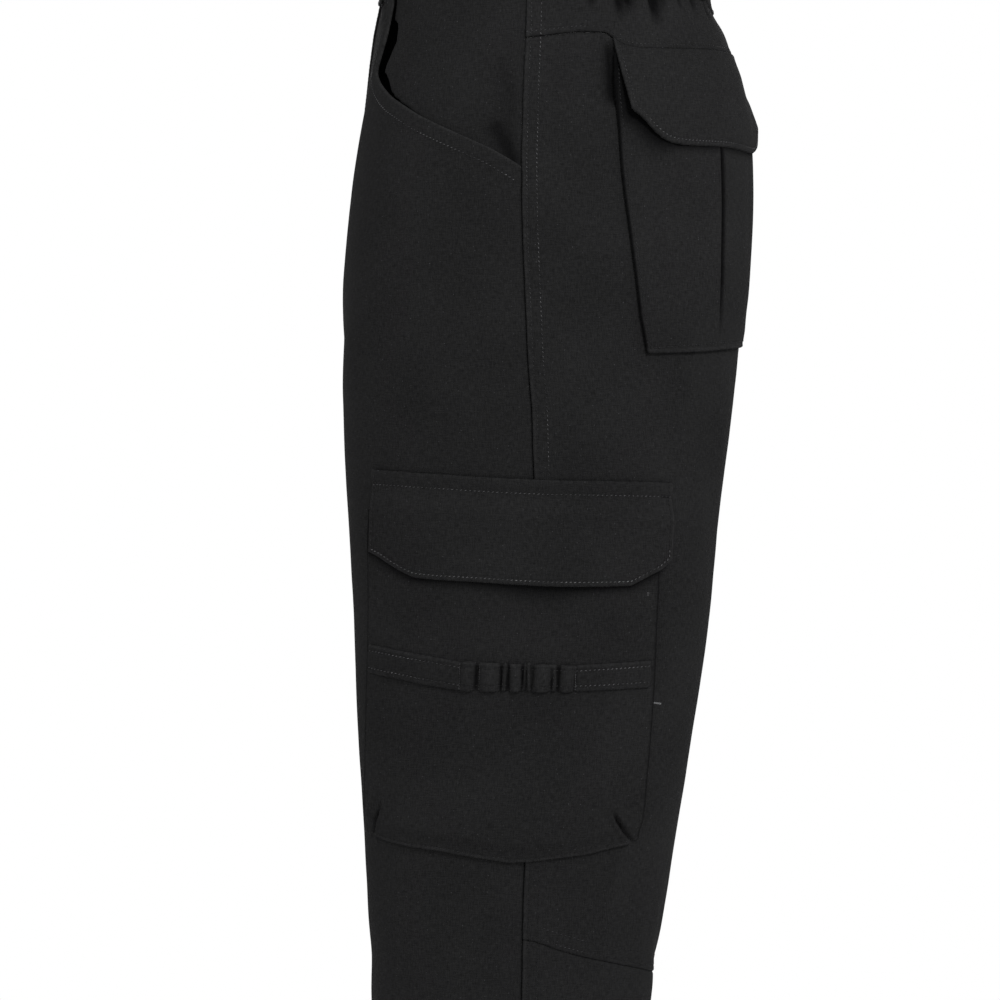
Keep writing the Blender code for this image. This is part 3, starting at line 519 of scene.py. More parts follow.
def shell(name, drop, reach, lift, leg, thick=WALL, cells=None, wear_and_painted_shade=None):
    """A closed shell over a grid of places; cells says which of its squares are there."""
    rows, columns = drop.shape
    index = np.arange(rows * columns).reshape(rows, columns)
    quads = np.stack([index[:-1, :-1], index[1:, :-1], index[1:, 1:], index[:-1, 1:]], axis=-1)
    quads = quads[cells] if cells is not None else quads.reshape(-1, 4)
    used, quads = np.unique(quads, return_inverse=True)
    quads = quads.reshape(-1, 4)
    count = len(used)
    outer, outward = cloth(drop, reach, lift, leg)
    outer = outer.reshape(-1, 3)[used]
    outward = outward.reshape(-1, 3)[used]
    thickness = np.broadcast_to(thick, drop.shape).reshape(-1)[used][:, None]
    inner = outer - outward * thickness
    starts, ends = quads.ravel(), np.roll(quads, -1, axis=1).ravel()
    free = ~np.isin(starts.astype(np.int64) * count + ends, ends.astype(np.int64) * count + starts)
    starts, ends = starts[free], ends[free]
    middles = outer[quads].mean(axis=1)
    summed = np.zeros((count, 3))
    times = np.zeros((count, 1))
    for corner in range(4):
        np.add.at(summed, quads[:, corner], middles)
        np.add.at(times, quads[:, corner], 1.0)
    rim = np.unique(starts)
    away = outer[rim] - summed[rim] / times[rim]
    away /= np.maximum(np.linalg.norm(away, axis=1, keepdims=True), 1e-9)
    edge = (outer[rim] + inner[rim]) / 2 + away * thickness[rim] * EDGE_ROUND
    edge_of = np.zeros(count, dtype=int)
    edge_of[rim] = 2 * count + np.arange(len(rim))
    faces = np.concatenate([
        quads,
        quads[:, ::-1] + count,
        np.stack([ends, starts, edge_of[starts], edge_of[ends]], axis=1),
        np.stack([edge_of[ends], edge_of[starts], starts + count, ends + count], axis=1),
    ])
    if leg < 0:
        faces = faces[:, ::-1]
    mesh = bpy.data.meshes.new(name)
    mesh.from_pydata(np.concatenate([outer, inner, edge]).tolist(), [], faces.tolist())
    grain = np.stack([reach.reshape(-1)[used], -drop.reshape(-1)[used]], axis=1)
    grain = np.concatenate([grain, grain, grain[rim]])
    mesh.uv_layers.new(name="UVMap").data.foreach_set("uv", grain[faces.ravel()].ravel())
    # One value per point: paler with wear above zero, painted shade below zero.
    worn_and_shaded = np.zeros(count) if wear_and_painted_shade is None else wear_and_painted_shade.reshape(-1)[used]
    # A rim that is not paler with wear gets painted shade, so seams and edges show dark lines.
    at_rim = np.where(worn_and_shaded[rim] > 0, worn_and_shaded[rim], RIM_PAINTED_SHADE)
    worn_and_shaded = np.concatenate([worn_and_shaded, np.zeros(count), at_rim])
    mesh.attributes.new("wear_and_painted_shade", "FLOAT", "POINT").data.foreach_set("value", worn_and_shaded)
    mesh.shade_smooth()
    piece = bpy.data.objects.new(name, mesh)
    scene.collection.objects.link(piece)
    return piece


print("a 300 mm panel gets", len(graded(300, 3.2)), "columns")

# %% [markdown]
# ## Seams in relief
#
# A felled seam has three layers on one side, so the cloth stands higher there, rolls over at the
# seam line, and dips along each row of topstitching.  The thread draws the cloth in as well, which
# puckers it in short uneven waves.

# %% The relief beside a seam
def rolled_edge(distance, depth, width):
    """How far an edge rolls down within a width, at distances from it."""
    return -depth * (1 - np.sqrt(np.clip(distance / width, 0, 1)))


def felled(distance, along, seed, rows, width, rise=0.7, pucker=0.22):
    """Height that a stitched seam adds, at distances from it and places along it, in metres."""
    d = distance / MM
    roll = np.sqrt(np.clip(d / 1.4, 0, 1))
    height = rise * (1 - soft(d, width - 1.2, width + 1.6)) * roll - 0.35 * (1 - roll)
    for row in rows:
        dip = 1 + 0.3 * uneven(seed + 1, along / (3 * MM))
        height = height - 0.34 * bell(d - row, 0.85) * dip
    waves = uneven(seed, along / (7.5 * MM)) + 0.5 * uneven(seed + 2, along / (3.6 * MM))
    return (height + pucker * waves * bell(d, width * 1.25)) * MM


def under(distance, along, seed, pucker=0.18):
    """The other side of that seam, which goes under: a ditch and the same puckers, softer."""
    d = distance / MM
    waves = uneven(seed, along / (7.5 * MM))
    return (-1.5 * bell(d, 1.0) + pucker * waves * bell(d - 2.5, 5.0)) * MM


HEM_DROP = 1040 * MM
TURN_UP, TURN_UP_WALL = 22 * MM, 0.8 * MM  # height of the turned hem, and what it adds inside
HEM_ROW = 20.0  # stitch row above the foot, in millimetres


def hem_relief(drop, reach, seed):
    """The turned hem: a step where it ends inside, a row of stitches and a rounded foot."""
    up = HEM_DROP - drop
    plateau = 0.5 * (1 - soft(up / MM, 20.5, 23.0)) - 0.3 * bell(up / MM - HEM_ROW, 0.9)
    waves = uneven(seed, reach / (9 * MM)) * bell(up / MM - HEM_ROW, 7.0)
    return (plateau + 0.3 * waves) * MM


def hem_thickness(drop):
    return WALL + TURN_UP_WALL * (drop > HEM_DROP - TURN_UP)


def hem_wear(drop):
    """The worn foot of the hem."""
    return bell((HEM_DROP - drop) / MM, 1.2)


print("relief 5 mm from a seam: %.2f mm" % (felled(5 * MM, 0.0, 3, (3, 9.3), 11) / MM))

# %% [markdown]
# ## The lines of this garment
#
# The mouth of the slanted pocket, the yoke seam and the seam behind the knee, read off the side
# view and given in millimetres of reach and drop.

# %% Pocket mouth, yoke seam and knee seam
MOUTH_EDGE = ((-108.6, 0.15), (-108.4, 9.3), (-109.2, 15.3), (-110.3, 21.3), (-111.8, 30),
              (-115, 36.3), (-118.6, 43.2), (-121.8, 48.8), (-122.2, 52), (-118.8, 56),
              (-112.8, 60.3), (-104.6, 65.5), (-97.6, 69.7), (-88.5, 74), (-69.6, 83.7),
              (-50.7, 92.3), (-33.7, 99.9), (-20.8, 105.6), (-7, 113.6), (-0.15, 118))
mouth = chalk(MOUTH_EDGE, 1.5)
mouth_corner = int(np.argmin(mouth[:, 0]))
# Along the mouth: how far the front's edge stands off, and how far the facing lies back.
GAPE = ((0, 0.3), (12, 0.9), (30, 1.5), (46, 1.3), (58, 0.7), (72, 0.5), (92, 0.3), (135, 0.3),
        (152, 0.7), (164, 0.5), (176, 0.0))
SINK = ((0, 0.4), (20, 0.6), (60, 0.8), (76, 0.8), (110, 0.8), (136, 1.2), (160, 1.4), (172, 0.3),
        (176, 0.0))
YOKE_SEAM = ((0, 34), (12, 32.7), (21.5, 31.4), (33, 30), (51, 29.8), (55, 32.4), (59.5, 37),
             (64, 38.8), (75, 40.4), (106, 39.2), (136, 37.5), (166, 37), (195, 37), (222, 37),
             (249.5, 37))
yoke_seam = chalk(YOKE_SEAM)
KNEE_SEAM = ((0.0, 606.8), (0.03, 608), (0.05, 610), (0.09, 614), (0.147, 618.2), (0.2, 621.2),
             (0.27, 625.4), (0.38, 631), (0.5, 634.5), (0.71, 638), (1.0, 639.5))


def along_mouth(table, along):
    """A table's value at lengths along the mouth, in metres."""
    return read_table(table, along / MM) * MM


def yoke_drop(part):
    """Drop of the yoke seam at a part of the way from the side seam to the centre back."""
    return np.interp(part, yoke_seam[:, 0] / back_length(yoke_seam[:, 1]), yoke_seam[:, 1])


def knee_drop(part):
    """Drop of the seam behind the knee at such a part of the way."""
    return np.interp(part, [row[0] for row in KNEE_SEAM], [row[1] * MM for row in KNEE_SEAM])


print("pocket mouth %.0f mm long, its corner at reach %.0f mm" % (
    run_of(mouth)[-1] / MM, mouth[mouth_corner, 0] / MM))

# %% [markdown]
# ## The edges of the flaps
#
# A flap is cut with a straight top and a foot whose corners are taken off.  Both lines are given at
# the same few places, so that each place has a top and a foot.  The outlines come this early
# because the panels and the pockets lie darker beside a flap's edge, where it keeps off the light.

# %% Outlines of the flaps
BACK_MIDDLE = 144 * MM  # reach of the middle of the back pocket
CARGO_FLAP = (  # reach at the top and at the foot, drop at the top and at the foot
    (-113.8, -115.2, 308.8, 360.4), (-106, -106.6, 309.3, 363.7), (-92, -92, 310, 372),
    (-82, -82, 310.8, 376.4), (-67, -67, 311.6, 377.8), (-42, -42, 313.2, 379),
    (-20, -20, 314.4, 380.4), (5, 5, 315.4, 381.6), (29, 29, 315.9, 381.8), (54, 54, 316.3, 381.4),
    (75, 74, 316.8, 371.4), (86, 81.4, 317.3, 365.6),
)
# Half of the back flap: offset at the top and at the foot, and the foot's drop.
BACK_FLAP_HALF = ((88, 76.4, 81.7), (85.6, 74.8, 83.6), (81, 70.9, 86), (75.5, 66, 90.2),
                  (69.5, 60.9, 95.1), (64, 56.2, 98.5), (57.5, 50.5, 101.1), (50, 44.4, 102.4),
                  (41, 36.7, 102.9), (27, 24.7, 102.7), (10, 9.6, 102.2), (0, 0, 102))


def back_flap_table():
    """The back flap's lines, mirrored about the pocket's middle and set in the yoke seam."""
    lines = [(-top, -foot, drop) for top, foot, drop in BACK_FLAP_HALF]
    lines += list(reversed(BACK_FLAP_HALF[:-1]))
    middle = BACK_MIDDLE / MM
    return tuple((middle + top, middle + foot, yoke_top(middle + top), drop)
                 for top, foot, drop in lines)


def yoke_top(reach_mm):
    """Drop of the top of a piece that is set in the yoke seam, in millimetres."""
    return float(read_line(yoke_seam, reach_mm * MM)) / MM + 0.3


def flap_outline(table):
    """Down the front side of a flap, along its foot and up its other side, in metres."""
    rows = np.array(table)
    points = [(rows[0, 0], rows[0, 2])] + list(zip(rows[:, 1], rows[:, 3]))
    return np.array(points + [(rows[-1, 0], rows[-1, 2])]) * MM


def beside(line, drop, reach, width):
    """1 on a line, falling off within a width in millimetres: where a flap throws its shade."""
    return bell(nearest(line, drop, reach)[0] / MM, width)


cargo_flap_line = flap_outline(CARGO_FLAP)
BACK_FLAP = back_flap_table()
back_flap_line = flap_outline(BACK_FLAP)
print("flap outlines: %d and %d places" % (len(cargo_flap_line), len(back_flap_line)))

# %% [markdown]
# ## Front panels
#
# Each front is one piece from the waistband to the hem, with the corner above the slanted pocket
# cut away.  Its grid has a strip beside the fly that runs up to the waistband, and columns that
# start on the pocket's mouth.  Along the mouth the edge stands off the body, as the hand has pulled
# it open, and it is doubled and stitched.

# %% The front panels
FRONT_LEVEL = 190 * MM  # from here down the rows lie level
MOUTH_FOOT = 116 * MM  # from here down the front meets the back in a ditch
STRIP = 28  # columns of the strip beside the fly
CENTRE_LAP = 1.1 * MM  # of the left side over the right one, at the centre seams
LAP_FOOT = 257 * MM  # where that lap ends, above the crotch
sheets = []  # piece, node, slot, held, rests on, flat width and length, area


def keep(piece, node, held, rests_on, drop, reach, slot="cloth", ease=1.0, cells=True):
    """Note a sheet with the size it was cut to; ease is the extra width of gathered cloth."""
    down, along = np.diff(drop[:, :-1], axis=0), np.diff(reach[:-1], axis=1)
    slant_down, slant_along = np.diff(drop[:-1], axis=1), np.diff(reach[:, :-1], axis=0)
    squares = np.abs(down * along - slant_down * slant_along) * cells
    width = float(np.ptp(reach, axis=1).max()) * ease
    length = float(np.ptp(drop))
    area = min(float(squares.sum()) * ease, width * length)
    sheets.append((piece, node, slot, held, rests_on, (width, length), area))
    return piece


def lapped(drop, reach, length, leg):
    """The reaches of a panel, with the left one's edge moved over the right one's."""
    at_centre = (length - np.abs(reach) < 1.5 * SEAM) & (drop < LAP_FOOT)
    return reach + np.sign(reach) * CENTRE_LAP * at_centre * (leg > 0)


def front_height(drop, reach, leg):
    """Lift of the front's outer face: pocket mouth, seams, fly stitching and hem."""
    away, along = nearest(mouth, drop, reach)
    near = away / MM
    rolled = np.sqrt(np.clip(near / 1.6, 0, 1))
    doubled = (0.75 * (1 - soft(near, 9.5, 12.5)) * rolled - 0.3 * bell(near - 9.8, 0.9)
               + 0.22 * uneven(41 + leg, along / (7 * MM)) * bell(near - 9, 7)) * MM
    stand_off = along_mouth(GAPE, along) * bell(near, 15)
    height = doubled + stand_off
    height += under(-reach, drop, 51 + leg) * soft(drop / MM, 112, 122)
    inner = front_length(drop) + reach
    fly = 1 - soft(drop / MM, 150, 172)
    centre = (1 - soft(drop / MM, 258, 266)) * (1 - fly)
    if leg > 0:
        height += felled(inner + CENTRE_LAP, drop, 61, (2.6, 8.6), 10, 0.5) * centre
    else:
        height += under(inner, drop, 61) * centre
    height += 0.2 * MM * uneven(66 + leg, drop / (8 * MM)) * bell(inner / MM, 9) * soft(
        drop / MM, 266, 280)
    return height + hem_relief(drop, reach, 71 + leg)


def front_grid():
    """Places of the front's grid and the squares that are cut away above the mouth."""
    strip = np.linspace(0, 1, STRIP)
    left_edge = mouth[:mouth_corner + 1]
    lower_edge = mouth[mouth_corner:]
    strip_drops = graded(left_edge[-1, 1] / MM, 3.0, 1.2) * left_edge[-1, 1]
    strip_drops = np.maximum(strip_drops, left_edge[0, 1])
    across = graded(116, 3.2, 1.0)[1:]
    picks = np.interp(across, np.linspace(0, 1, len(lower_edge)), np.arange(len(lower_edge)))
    low_r = np.interp(picks, np.arange(len(lower_edge)), lower_edge[:, 0])
    low_d = np.interp(picks, np.arange(len(lower_edge)), lower_edge[:, 1])
    drops, reaches = [], []
    for drop in strip_drops:
        edge = np.interp(drop, left_edge[:, 1], left_edge[:, 0])
        inner = -(front_length(drop) - SEAM)
        share = drop / strip_drops[-1]
        drops.append(np.concatenate([np.full(STRIP, drop), low_d * share + drop * (1 - share)]))
        beyond = np.maximum(edge + (low_r - low_r[0]) * 0.9, edge)
        reaches.append(np.concatenate([inner + (edge - inner) * strip, beyond]))
    top_row = len(drops)
    starts_d, starts_r = drops[-1].copy(), reaches[-1].copy()
    starts_d[STRIP:], starts_r[STRIP:] = low_d, low_r
    drops[-1], reaches[-1] = starts_d, starts_r
    parts = -starts_r / front_length(starts_d)
    for step in graded(120, 3.2, 0.8)[1:]:
        drops.append(starts_d + (FRONT_LEVEL - starts_d) * step)
        reaches.append(-parts * front_length(drops[-1]))
    for step in graded((HEM_DROP - FRONT_LEVEL) / MM, 4.2, 1.0)[1:]:
        drops.append(np.full(len(parts), FRONT_LEVEL + (HEM_DROP - FRONT_LEVEL) * step))
        reaches.append(-parts * front_length(drops[-1]))
    drops, reaches = np.array(drops), np.array(reaches)
    length = front_length(drops)
    reaches = -np.clip(-reaches, SEAM, length - SEAM)
    cells = np.ones((len(drops) - 1, drops.shape[1] - 1), dtype=bool)
    cells[:top_row - 1, STRIP - 1:] = False
    return drops, reaches, cells


front_drop, front_reach, front_cells = front_grid()
mouth_wear = 0.5 * bell(nearest(mouth, front_drop, front_reach)[0] / MM, 1.0)
# Painted shade in the ditch where the front goes under the back, below the pocket's mouth.
ditch_shade = 0.9 * bell(front_reach / MM, 0.9) * (front_drop > MOUTH_FOOT)
for leg, side in SIDES:
    reach = lapped(front_drop, front_reach, front_length(front_drop), leg)
    piece = shell("front_panel_" + side, front_drop, reach,
                  front_height(front_drop, reach, leg), leg, hem_thickness(front_drop),
                  front_cells, np.maximum(mouth_wear, hem_wear(front_drop)) - ditch_shade)
    keep(piece, "front_" + side, "hung", ["waistband_front_" + side], front_drop, front_reach,
         cells=front_cells)
print("front panel faces:", len(piece.data.polygons))

# %% [markdown]
# ## What shows in the pocket's mouth
#
# Behind the mouth lies a facing of the same cloth.  It hangs back where the hand goes in, so the
# mouth throws its own shadow, and a faint curved seam crosses it near the side.  Behind the gap
# of the mouth it turns inwards over a fold and is lost in the dark; past that fold, and where it
# sags at its foot, painted shade darkens its colour as well.

# %% The pocket facings
FACING_SEAM = chalk(((-21, 2), (-12, 8), (-5, 16), (-2.5, 28), (-2, 60)))
# Where the facing turns inwards behind the gap: drop and reach of its fold.
FACING_FOLD = ((0, -108), (5, -108.2), (9.4, -108.8), (14.5, -110), (16.5, -108.6),
               (19.8, -103), (23.9, -101.6), (30, -101.6), (39.5, -107.6), (47, -114),
               (51.2, -115.6), (54.8, -109.6), (58.4, -106.4), (65.3, -102), (70.5, -94.6),
               (76.4, -83.4), (84, -71), (92, -53), (100, -34), (112, -10), (120, 0))
FACING_CREASES = (  # reach, drop, reach, drop, half width, depth, bow
    (0, -14, 50, -10, 126, 8, 5.6, 1), (0, -97, 17, -84, 7, 4, 0.8, 1),
    (0, -70, 2, -52, 40, 9, -0.5, 3), (0, -40, 4, -34, 70, 10, 0.6, -3),
    (0, -88, 40, -60, 66, 10, 0.4, 4),
)
FACING_DARK = chalk(((-17, 92), (-12, 100), (-5.5, 113)))  # painted shade where the facing sags at its foot
TURNED_IN, TURNED_RUN = 14, 2.6  # how deep it turns in behind the fold, and how soon
BELOW_MOUTH = 14 * MM  # how far it runs on under the front


def past_fold(drop, reach):
    """How far places lie past the facing's fold, in millimetres."""
    return read_table(FACING_FOLD, drop / MM) - reach / MM


def facing_height(drop, reach, leg):
    """Lift of the facing: its fold, the sag behind the mouth, its seam and creases."""
    beyond = np.clip(past_fold(drop, reach), 0, None)
    turned_in = TURNED_IN * (1 - np.exp(-beyond / TURNED_RUN)) * (1 - soft(beyond, 11, 24)) * (
        1 - soft(drop / MM, 74, 100))
    away, along = nearest(mouth, drop, reach)
    back = along_mouth(SINK, along) * bell(away / MM, 13)
    seam_away = nearest(FACING_SEAM, drop, reach)[0] / MM
    ridge = 0.35 * bell(seam_away - 1.2, 1.0) - 0.3 * bell(seam_away, 0.8)
    dents = line_creases(FACING_CREASES, leg, drop, reach)
    return -WALL - 2 * SEAM - back - dents + (ridge - turned_in) * MM


# Painted shade on the facing: full past its fold, and soft where it sags at its foot.
def facing_shade(drop, reach):
    return np.maximum(soft(past_fold(drop, reach), 0.0, 2.0),
                      0.7 * beside(FACING_DARK, drop, reach, 6.0))


facing_reach = -np.concatenate([np.arange(137, 124, -1.6), np.arange(124, 80, -0.8),
                                np.linspace(79.8, 0.15, 44)]) * MM
facing_foot = read_table(mouth[mouth_corner:], facing_reach) + BELOW_MOUTH
facing_share = graded(110, 1.9)[:, None]
facing_drop = SEAM + (facing_foot - SEAM)[None, :] * facing_share
facing_reach = np.broadcast_to(facing_reach, facing_drop.shape)
for leg, side in SIDES:
    piece = shell("pocket_lining_" + side, facing_drop, facing_reach,
                  facing_height(facing_drop, facing_reach, leg), leg,
                  wear_and_painted_shade=-facing_shade(facing_drop, facing_reach))
    keep(piece, "pocket_facing_" + side, "hung", ["waistband_front_" + side], facing_drop,
         facing_reach)
print("facing: %.0f mm deep at the side seam" % (facing_foot[-1] / MM))

# %% [markdown]
# ## Back panels
#
# Yoke, back and lower back leg share the side seam, where they lie on top of the front: there the
# cloth is felled and stitched twice.  The yoke laps over the back, and the back over the lower leg.
# All three are the same kind of grid, between two lines that cross the back, so one loop over a
# small table makes them.

# %% Yoke, back and lower back leg
SIDE_ROWS = (3.0, 9.3)  # stitch rows beside the side seam
YOKE_ROW = 3.2  # stitch row above the yoke seam
KNEE_ROWS = (2.9, 10.3)  # stitch rows above the knee seam
SEAT_ROWS = (2.6, 8.6)  # stitch rows beside the centre back seam
YOKE_EASE = 1.18  # cloth that the elastic gathers, as part of the width that shows
GATHER_SHADE_DEPTH = 3.2 * MM  # depth of a gather at which its painted shade is full


def seat_seam(drop, reach, leg):
    """The centre back seam is felled to the left; on the leg it is a plain inseam."""
    inner = back_length(drop) - reach
    centre = 1 - soft(drop / MM, 256, 264)
    if leg > 0:
        return felled(inner + CENTRE_LAP, drop, 81, SEAT_ROWS, 10, 0.5) * centre
    return under(inner, drop, 81) * centre


def yoke_height(drop, reach, leg):
    """Lift of the yoke; the panels below it are built up in the same way."""
    part = reach / back_length(drop)
    return (felled(reach, drop, 31 + leg, SIDE_ROWS, 11.5)
            + felled(yoke_drop(part) - drop, reach, 34 + leg, (YOKE_ROW,), 5, 0.55, 0.3)
            + seat_seam(drop, reach, leg))


HOLLOW = chalk(((54.8, 42), (55.2, 54), (56.6, 72)))  # of the back, beside the flap's free side


def back_height(drop, reach, leg):
    part = reach / back_length(drop)
    away = drop - yoke_drop(part)
    return (felled(reach, drop, 31 + leg, SIDE_ROWS, 11.5)
            - 3.0 * MM * beside(HOLLOW, drop, reach, 3.6)
            + under(away, reach, 34 + leg, 0.3)
            + felled(knee_drop(part) - drop, reach, 37 + leg, KNEE_ROWS, 10.5, 0.45)
            + seat_seam(drop, reach, leg))


def lower_height(drop, reach, leg):
    part = reach / back_length(drop)
    return (felled(reach, drop, 31 + leg, SIDE_ROWS, 11.5)
            + 0.55 * under(drop - knee_drop(part), reach, 37 + leg)
            + hem_relief(drop, reach, 75 + leg))


# Painted shade in the valleys of the gathers under the elastic, deeper valleys darker.
def yoke_shade(drop, reach):
    return np.clip(deep_gathers(drop, reach) / GATHER_SHADE_DEPTH, 0, 0.95)


# Painted shade in the hollow beside the back flap's free side.
def back_shade(drop, reach):
    return 0.9 * beside(HOLLOW, drop, reach, 5.0)


def no_shade(drop, reach):
    return 0.0


def back_grid(top, foot, rows, step):
    """Places between two lines that cross the back, each a drop at a part of the width."""
    parts = graded(250, step)[None, :]
    share = rows[:, None]
    high = np.broadcast_to(top(parts), (1, parts.shape[1]))
    low = np.broadcast_to(foot(parts), (1, parts.shape[1]))
    drop = high + (low - high) * share
    length = back_length(drop)
    return drop, np.clip(parts * length, SEAM, length - SEAM)


BACK_PIECES = (  # name, node, lift, shade, held, hangs from, ease, places
    ("yoke", "back_yoke", yoke_height, yoke_shade, "gathered", "waistband_back", YOKE_EASE,
     back_grid(lambda part: SEAM, lambda part: yoke_drop(part) - SEAM, graded(36, 1.6), 1.9)),
    ("back_panel", "back", back_height, back_shade, "hung", "back_yoke_{}", 1.0,
     back_grid(lambda part: yoke_drop(part) + SEAM, lambda part: knee_drop(part) - SEAM,
               graded(580, 4.0), 3.7)),
    ("lower_back_leg", "back_lower", lower_height, no_shade, "hung", "back_{}", 1.0,
     back_grid(lambda part: knee_drop(part) + SEAM, lambda part: HEM_DROP, graded(420, 4.2), 4.0)),
)
for leg, side in SIDES:
    for name, node, height, shade, held, hanger, ease, (drop, places) in BACK_PIECES:
        seam_wear = 0.55 * bell(places / MM - 1.0, 1.1)
        reach = lapped(drop, places, back_length(drop), leg)
        piece = shell(name + "_" + side, drop, reach, height(drop, reach, leg), leg,
                      hem_thickness(drop),
                      wear_and_painted_shade=np.maximum(seam_wear, hem_wear(drop)) - shade(drop, places))
        keep(piece, node + "_" + side, held, [hanger.format(side)], drop, reach, ease=ease)
        print(piece.name, "faces:", len(piece.data.polygons))

# %% [markdown]
# ## Waistband
#
# The front halves are flat and stiff, stitched along both edges, and the left one laps over the
# right with a tab.  The back holds an elastic, so it is gathered all along and stitched through in
# four rows that pucker it.  The seam that joins it to the yoke is turned in as a ridge inside, so
# that no light falls through between the band and the yoke's folds.

# %% The three parts of the waistband
BAND_OUT = 1.2 * MM
BAND_WALL = 2.4 * MM
TAB_LENGTH, TAB_RAMP = 18 * MM, 14 * MM
TAB_LIFT = BAND_WALL + 2 * SEAM
BAND_ROWS = (2.2, 37.6)  # stitch rows of the front halves, up from the lower edge
ELASTIC_ROWS = (2.6, 14.0, 26.0, 37.4)
ELASTIC_EASE = 1.25  # cloth that the elastic gathers
INNER_RIDGE = 4.6 * MM  # of the seam that is turned in, under the elastic


def band_wear(drop):
    """The worn edges of the band."""
    return 0.4 * bell(np.minimum(-drop, BAND_HEIGHT + drop) / MM, 1.3)


def band_relief(drop, reach, seed, rows, pucker, pitch):
    """Rolled edges, stitch rows and puckers of the band, in metres."""
    up = -drop / MM
    edge = np.minimum(up, BAND_HEIGHT / MM - up)
    rolled = rolled_edge(edge, 0.9, 1.6)
    dips = sum(-0.3 * bell(up - row, 0.9) for row in rows)
    waves = uneven(seed, reach / (pitch * MM), up / 14.0)
    return (rolled + dips + pucker * waves) * MM


def band_front_height(drop, reach, leg):
    past = -reach - front_length(drop)
    raised = TAB_LIFT * soft(past, -TAB_RAMP, 0.0) if leg > 0 else 0.0
    tab_end = 0.6 * MM * (1 - np.sqrt(np.clip((TAB_LENGTH - past) / (1.6 * MM), 0, 1)))
    return BAND_OUT + raised - tab_end + band_relief(drop, reach, 91 + leg, BAND_ROWS, 0.12, 9)


band_drop = -BAND_HEIGHT + (BAND_HEIGHT - SEAM) * graded(40, 1.5, 0.7)[:, None]
for leg, side in SIDES:
    along = graded(230, 2.6)[None, :]
    length = front_length(band_drop)
    past = TAB_LENGTH if leg > 0 else -SEAM
    reach = -(length + past) + (length + past - SEAM) * along
    drop = np.broadcast_to(band_drop, reach.shape)
    piece = shell("waistband_" + side, drop, reach, band_front_height(drop, reach, leg), leg,
                  BAND_WALL, wear_and_painted_shade=band_wear(drop))
    keep(piece, "waistband_front_" + side, "stretched", ["waistband_back"], drop, reach)
length = back_length(band_drop)
reach = SEAM + (2 * length - 2 * SEAM) * graded(460, 1.5)[None, :]
drop = np.broadcast_to(band_drop, reach.shape)
height = BAND_OUT + band_relief(drop, reach, 95, ELASTIC_ROWS, 0.5, 3.4)
turned_seam = BAND_WALL + INNER_RIDGE * bell(-drop / MM - 2.4, 2.6)
piece = shell("waistband_elastic", drop, reach, height, 1, turned_seam, wear_and_painted_shade=band_wear(drop))
keep(piece, "waistband_back", "gathered", ["waistband_front_left", "waistband_front_right"],
     drop, reach, ease=ELASTIC_EASE)
print("elastic back: %.0f mm along" % (reach.max() / MM))

# %% [markdown]
# ## Fly and belt loops
#
# The fly lap is a facing laid over the left front, rounded at its foot.  A belt loop is a narrow
# strip that is tacked down at both ends and stands off between them, so a belt goes through.

# %% The fly lap and the belt loops
FLY_LAP, FLY_WIDTH, FLY_LENGTH, FLY_CURVE = 9 * MM, 32 * MM, 168 * MM, 45 * MM
LAY, EDGE = 0.4 * MM, 0.5 * MM  # gap under what is sewn on: along an edge, and across a panel
LOOP_WIDTH, LOOP_WALL = 12 * MM, 1.4 * MM
# A loop's drop and how far it stands off there.
LOOP_PATH = ((-38, 1.6), (-34, 3.2), (-27, 4), (-17, 4), (-11, 3), (-5, 1.7), (1.6, 1.5))
FRONT_LOOP, REAR_LOOP = 58 * MM, 136 * MM  # from the centre front, and from the side seam


def fly_foot(x):
    """Length of the lap at a distance from the centre line."""
    out = np.clip((x + FLY_LAP) / (FLY_WIDTH + FLY_LAP), 0, 0.98)
    return FLY_LENGTH - FLY_CURVE * (1 - np.sqrt(1 - out ** 2))


def fly_height(drop, x):
    """Lift of the lap, at distances from the centre line."""
    side = np.minimum(x + FLY_LAP, FLY_WIDTH - x) / MM
    edge = np.minimum(side, (fly_foot(x) - drop) / MM)
    rolled = rolled_edge(edge, 0.7, 1.5)
    dips = -0.25 * bell(FLY_WIDTH / MM - x / MM - 3.0, 0.9)
    waves = 0.18 * uneven(101, drop / (8 * MM), x / (14 * MM))
    return EDGE + WALL + (rolled + dips + waves + 0.25) * MM


fly_x = (-FLY_LAP + (FLY_LAP + FLY_WIDTH) * graded(41, 1.5, 0.6))[None, :]
fly_drop = 2 * SEAM + (fly_foot(fly_x) - 2 * SEAM) * graded(165, 2.4)[:, None]
fly_reach = -front_length(fly_drop) + fly_x
fly_places = np.broadcast_to(fly_x, fly_drop.shape)
piece = shell("fly_facing", fly_drop, fly_reach, fly_height(fly_drop, fly_places), 1)
keep(piece, "fly_lap", "laid", ["front_left"], fly_drop, fly_reach)


def front_middle(drop):
    return -front_length(drop) + FRONT_LOOP


def rear_middle(drop):
    return REAR_LOOP + 0 * drop


LOOPS = (  # piece, node, what holds it, leg, reach of its middle at a drop
    ("front_strip_left", "front_left", "waistband_front_left", 1, front_middle),
    ("front_strip_right", "front_right", "waistband_front_right", -1, front_middle),
    ("rear_strip_left", "rear_left", "waistband_back", 1, rear_middle),
    ("rear_strip_right", "rear_right", "waistband_back", -1, rear_middle),
    ("centre_strip", "centre", "waistband_back", 1, back_length),
)


def loop_height(drop, x):
    height = smooth_curve(*(np.array(LOOP_PATH) * MM).T, drop)
    edge = (LOOP_WIDTH / 2 - np.abs(x)) / MM
    rolled = rolled_edge(edge, 0.5, 1.2)
    return height + LOOP_WALL + rolled * MM - 0.2 * MM * bell(edge - 2.0, 0.7)


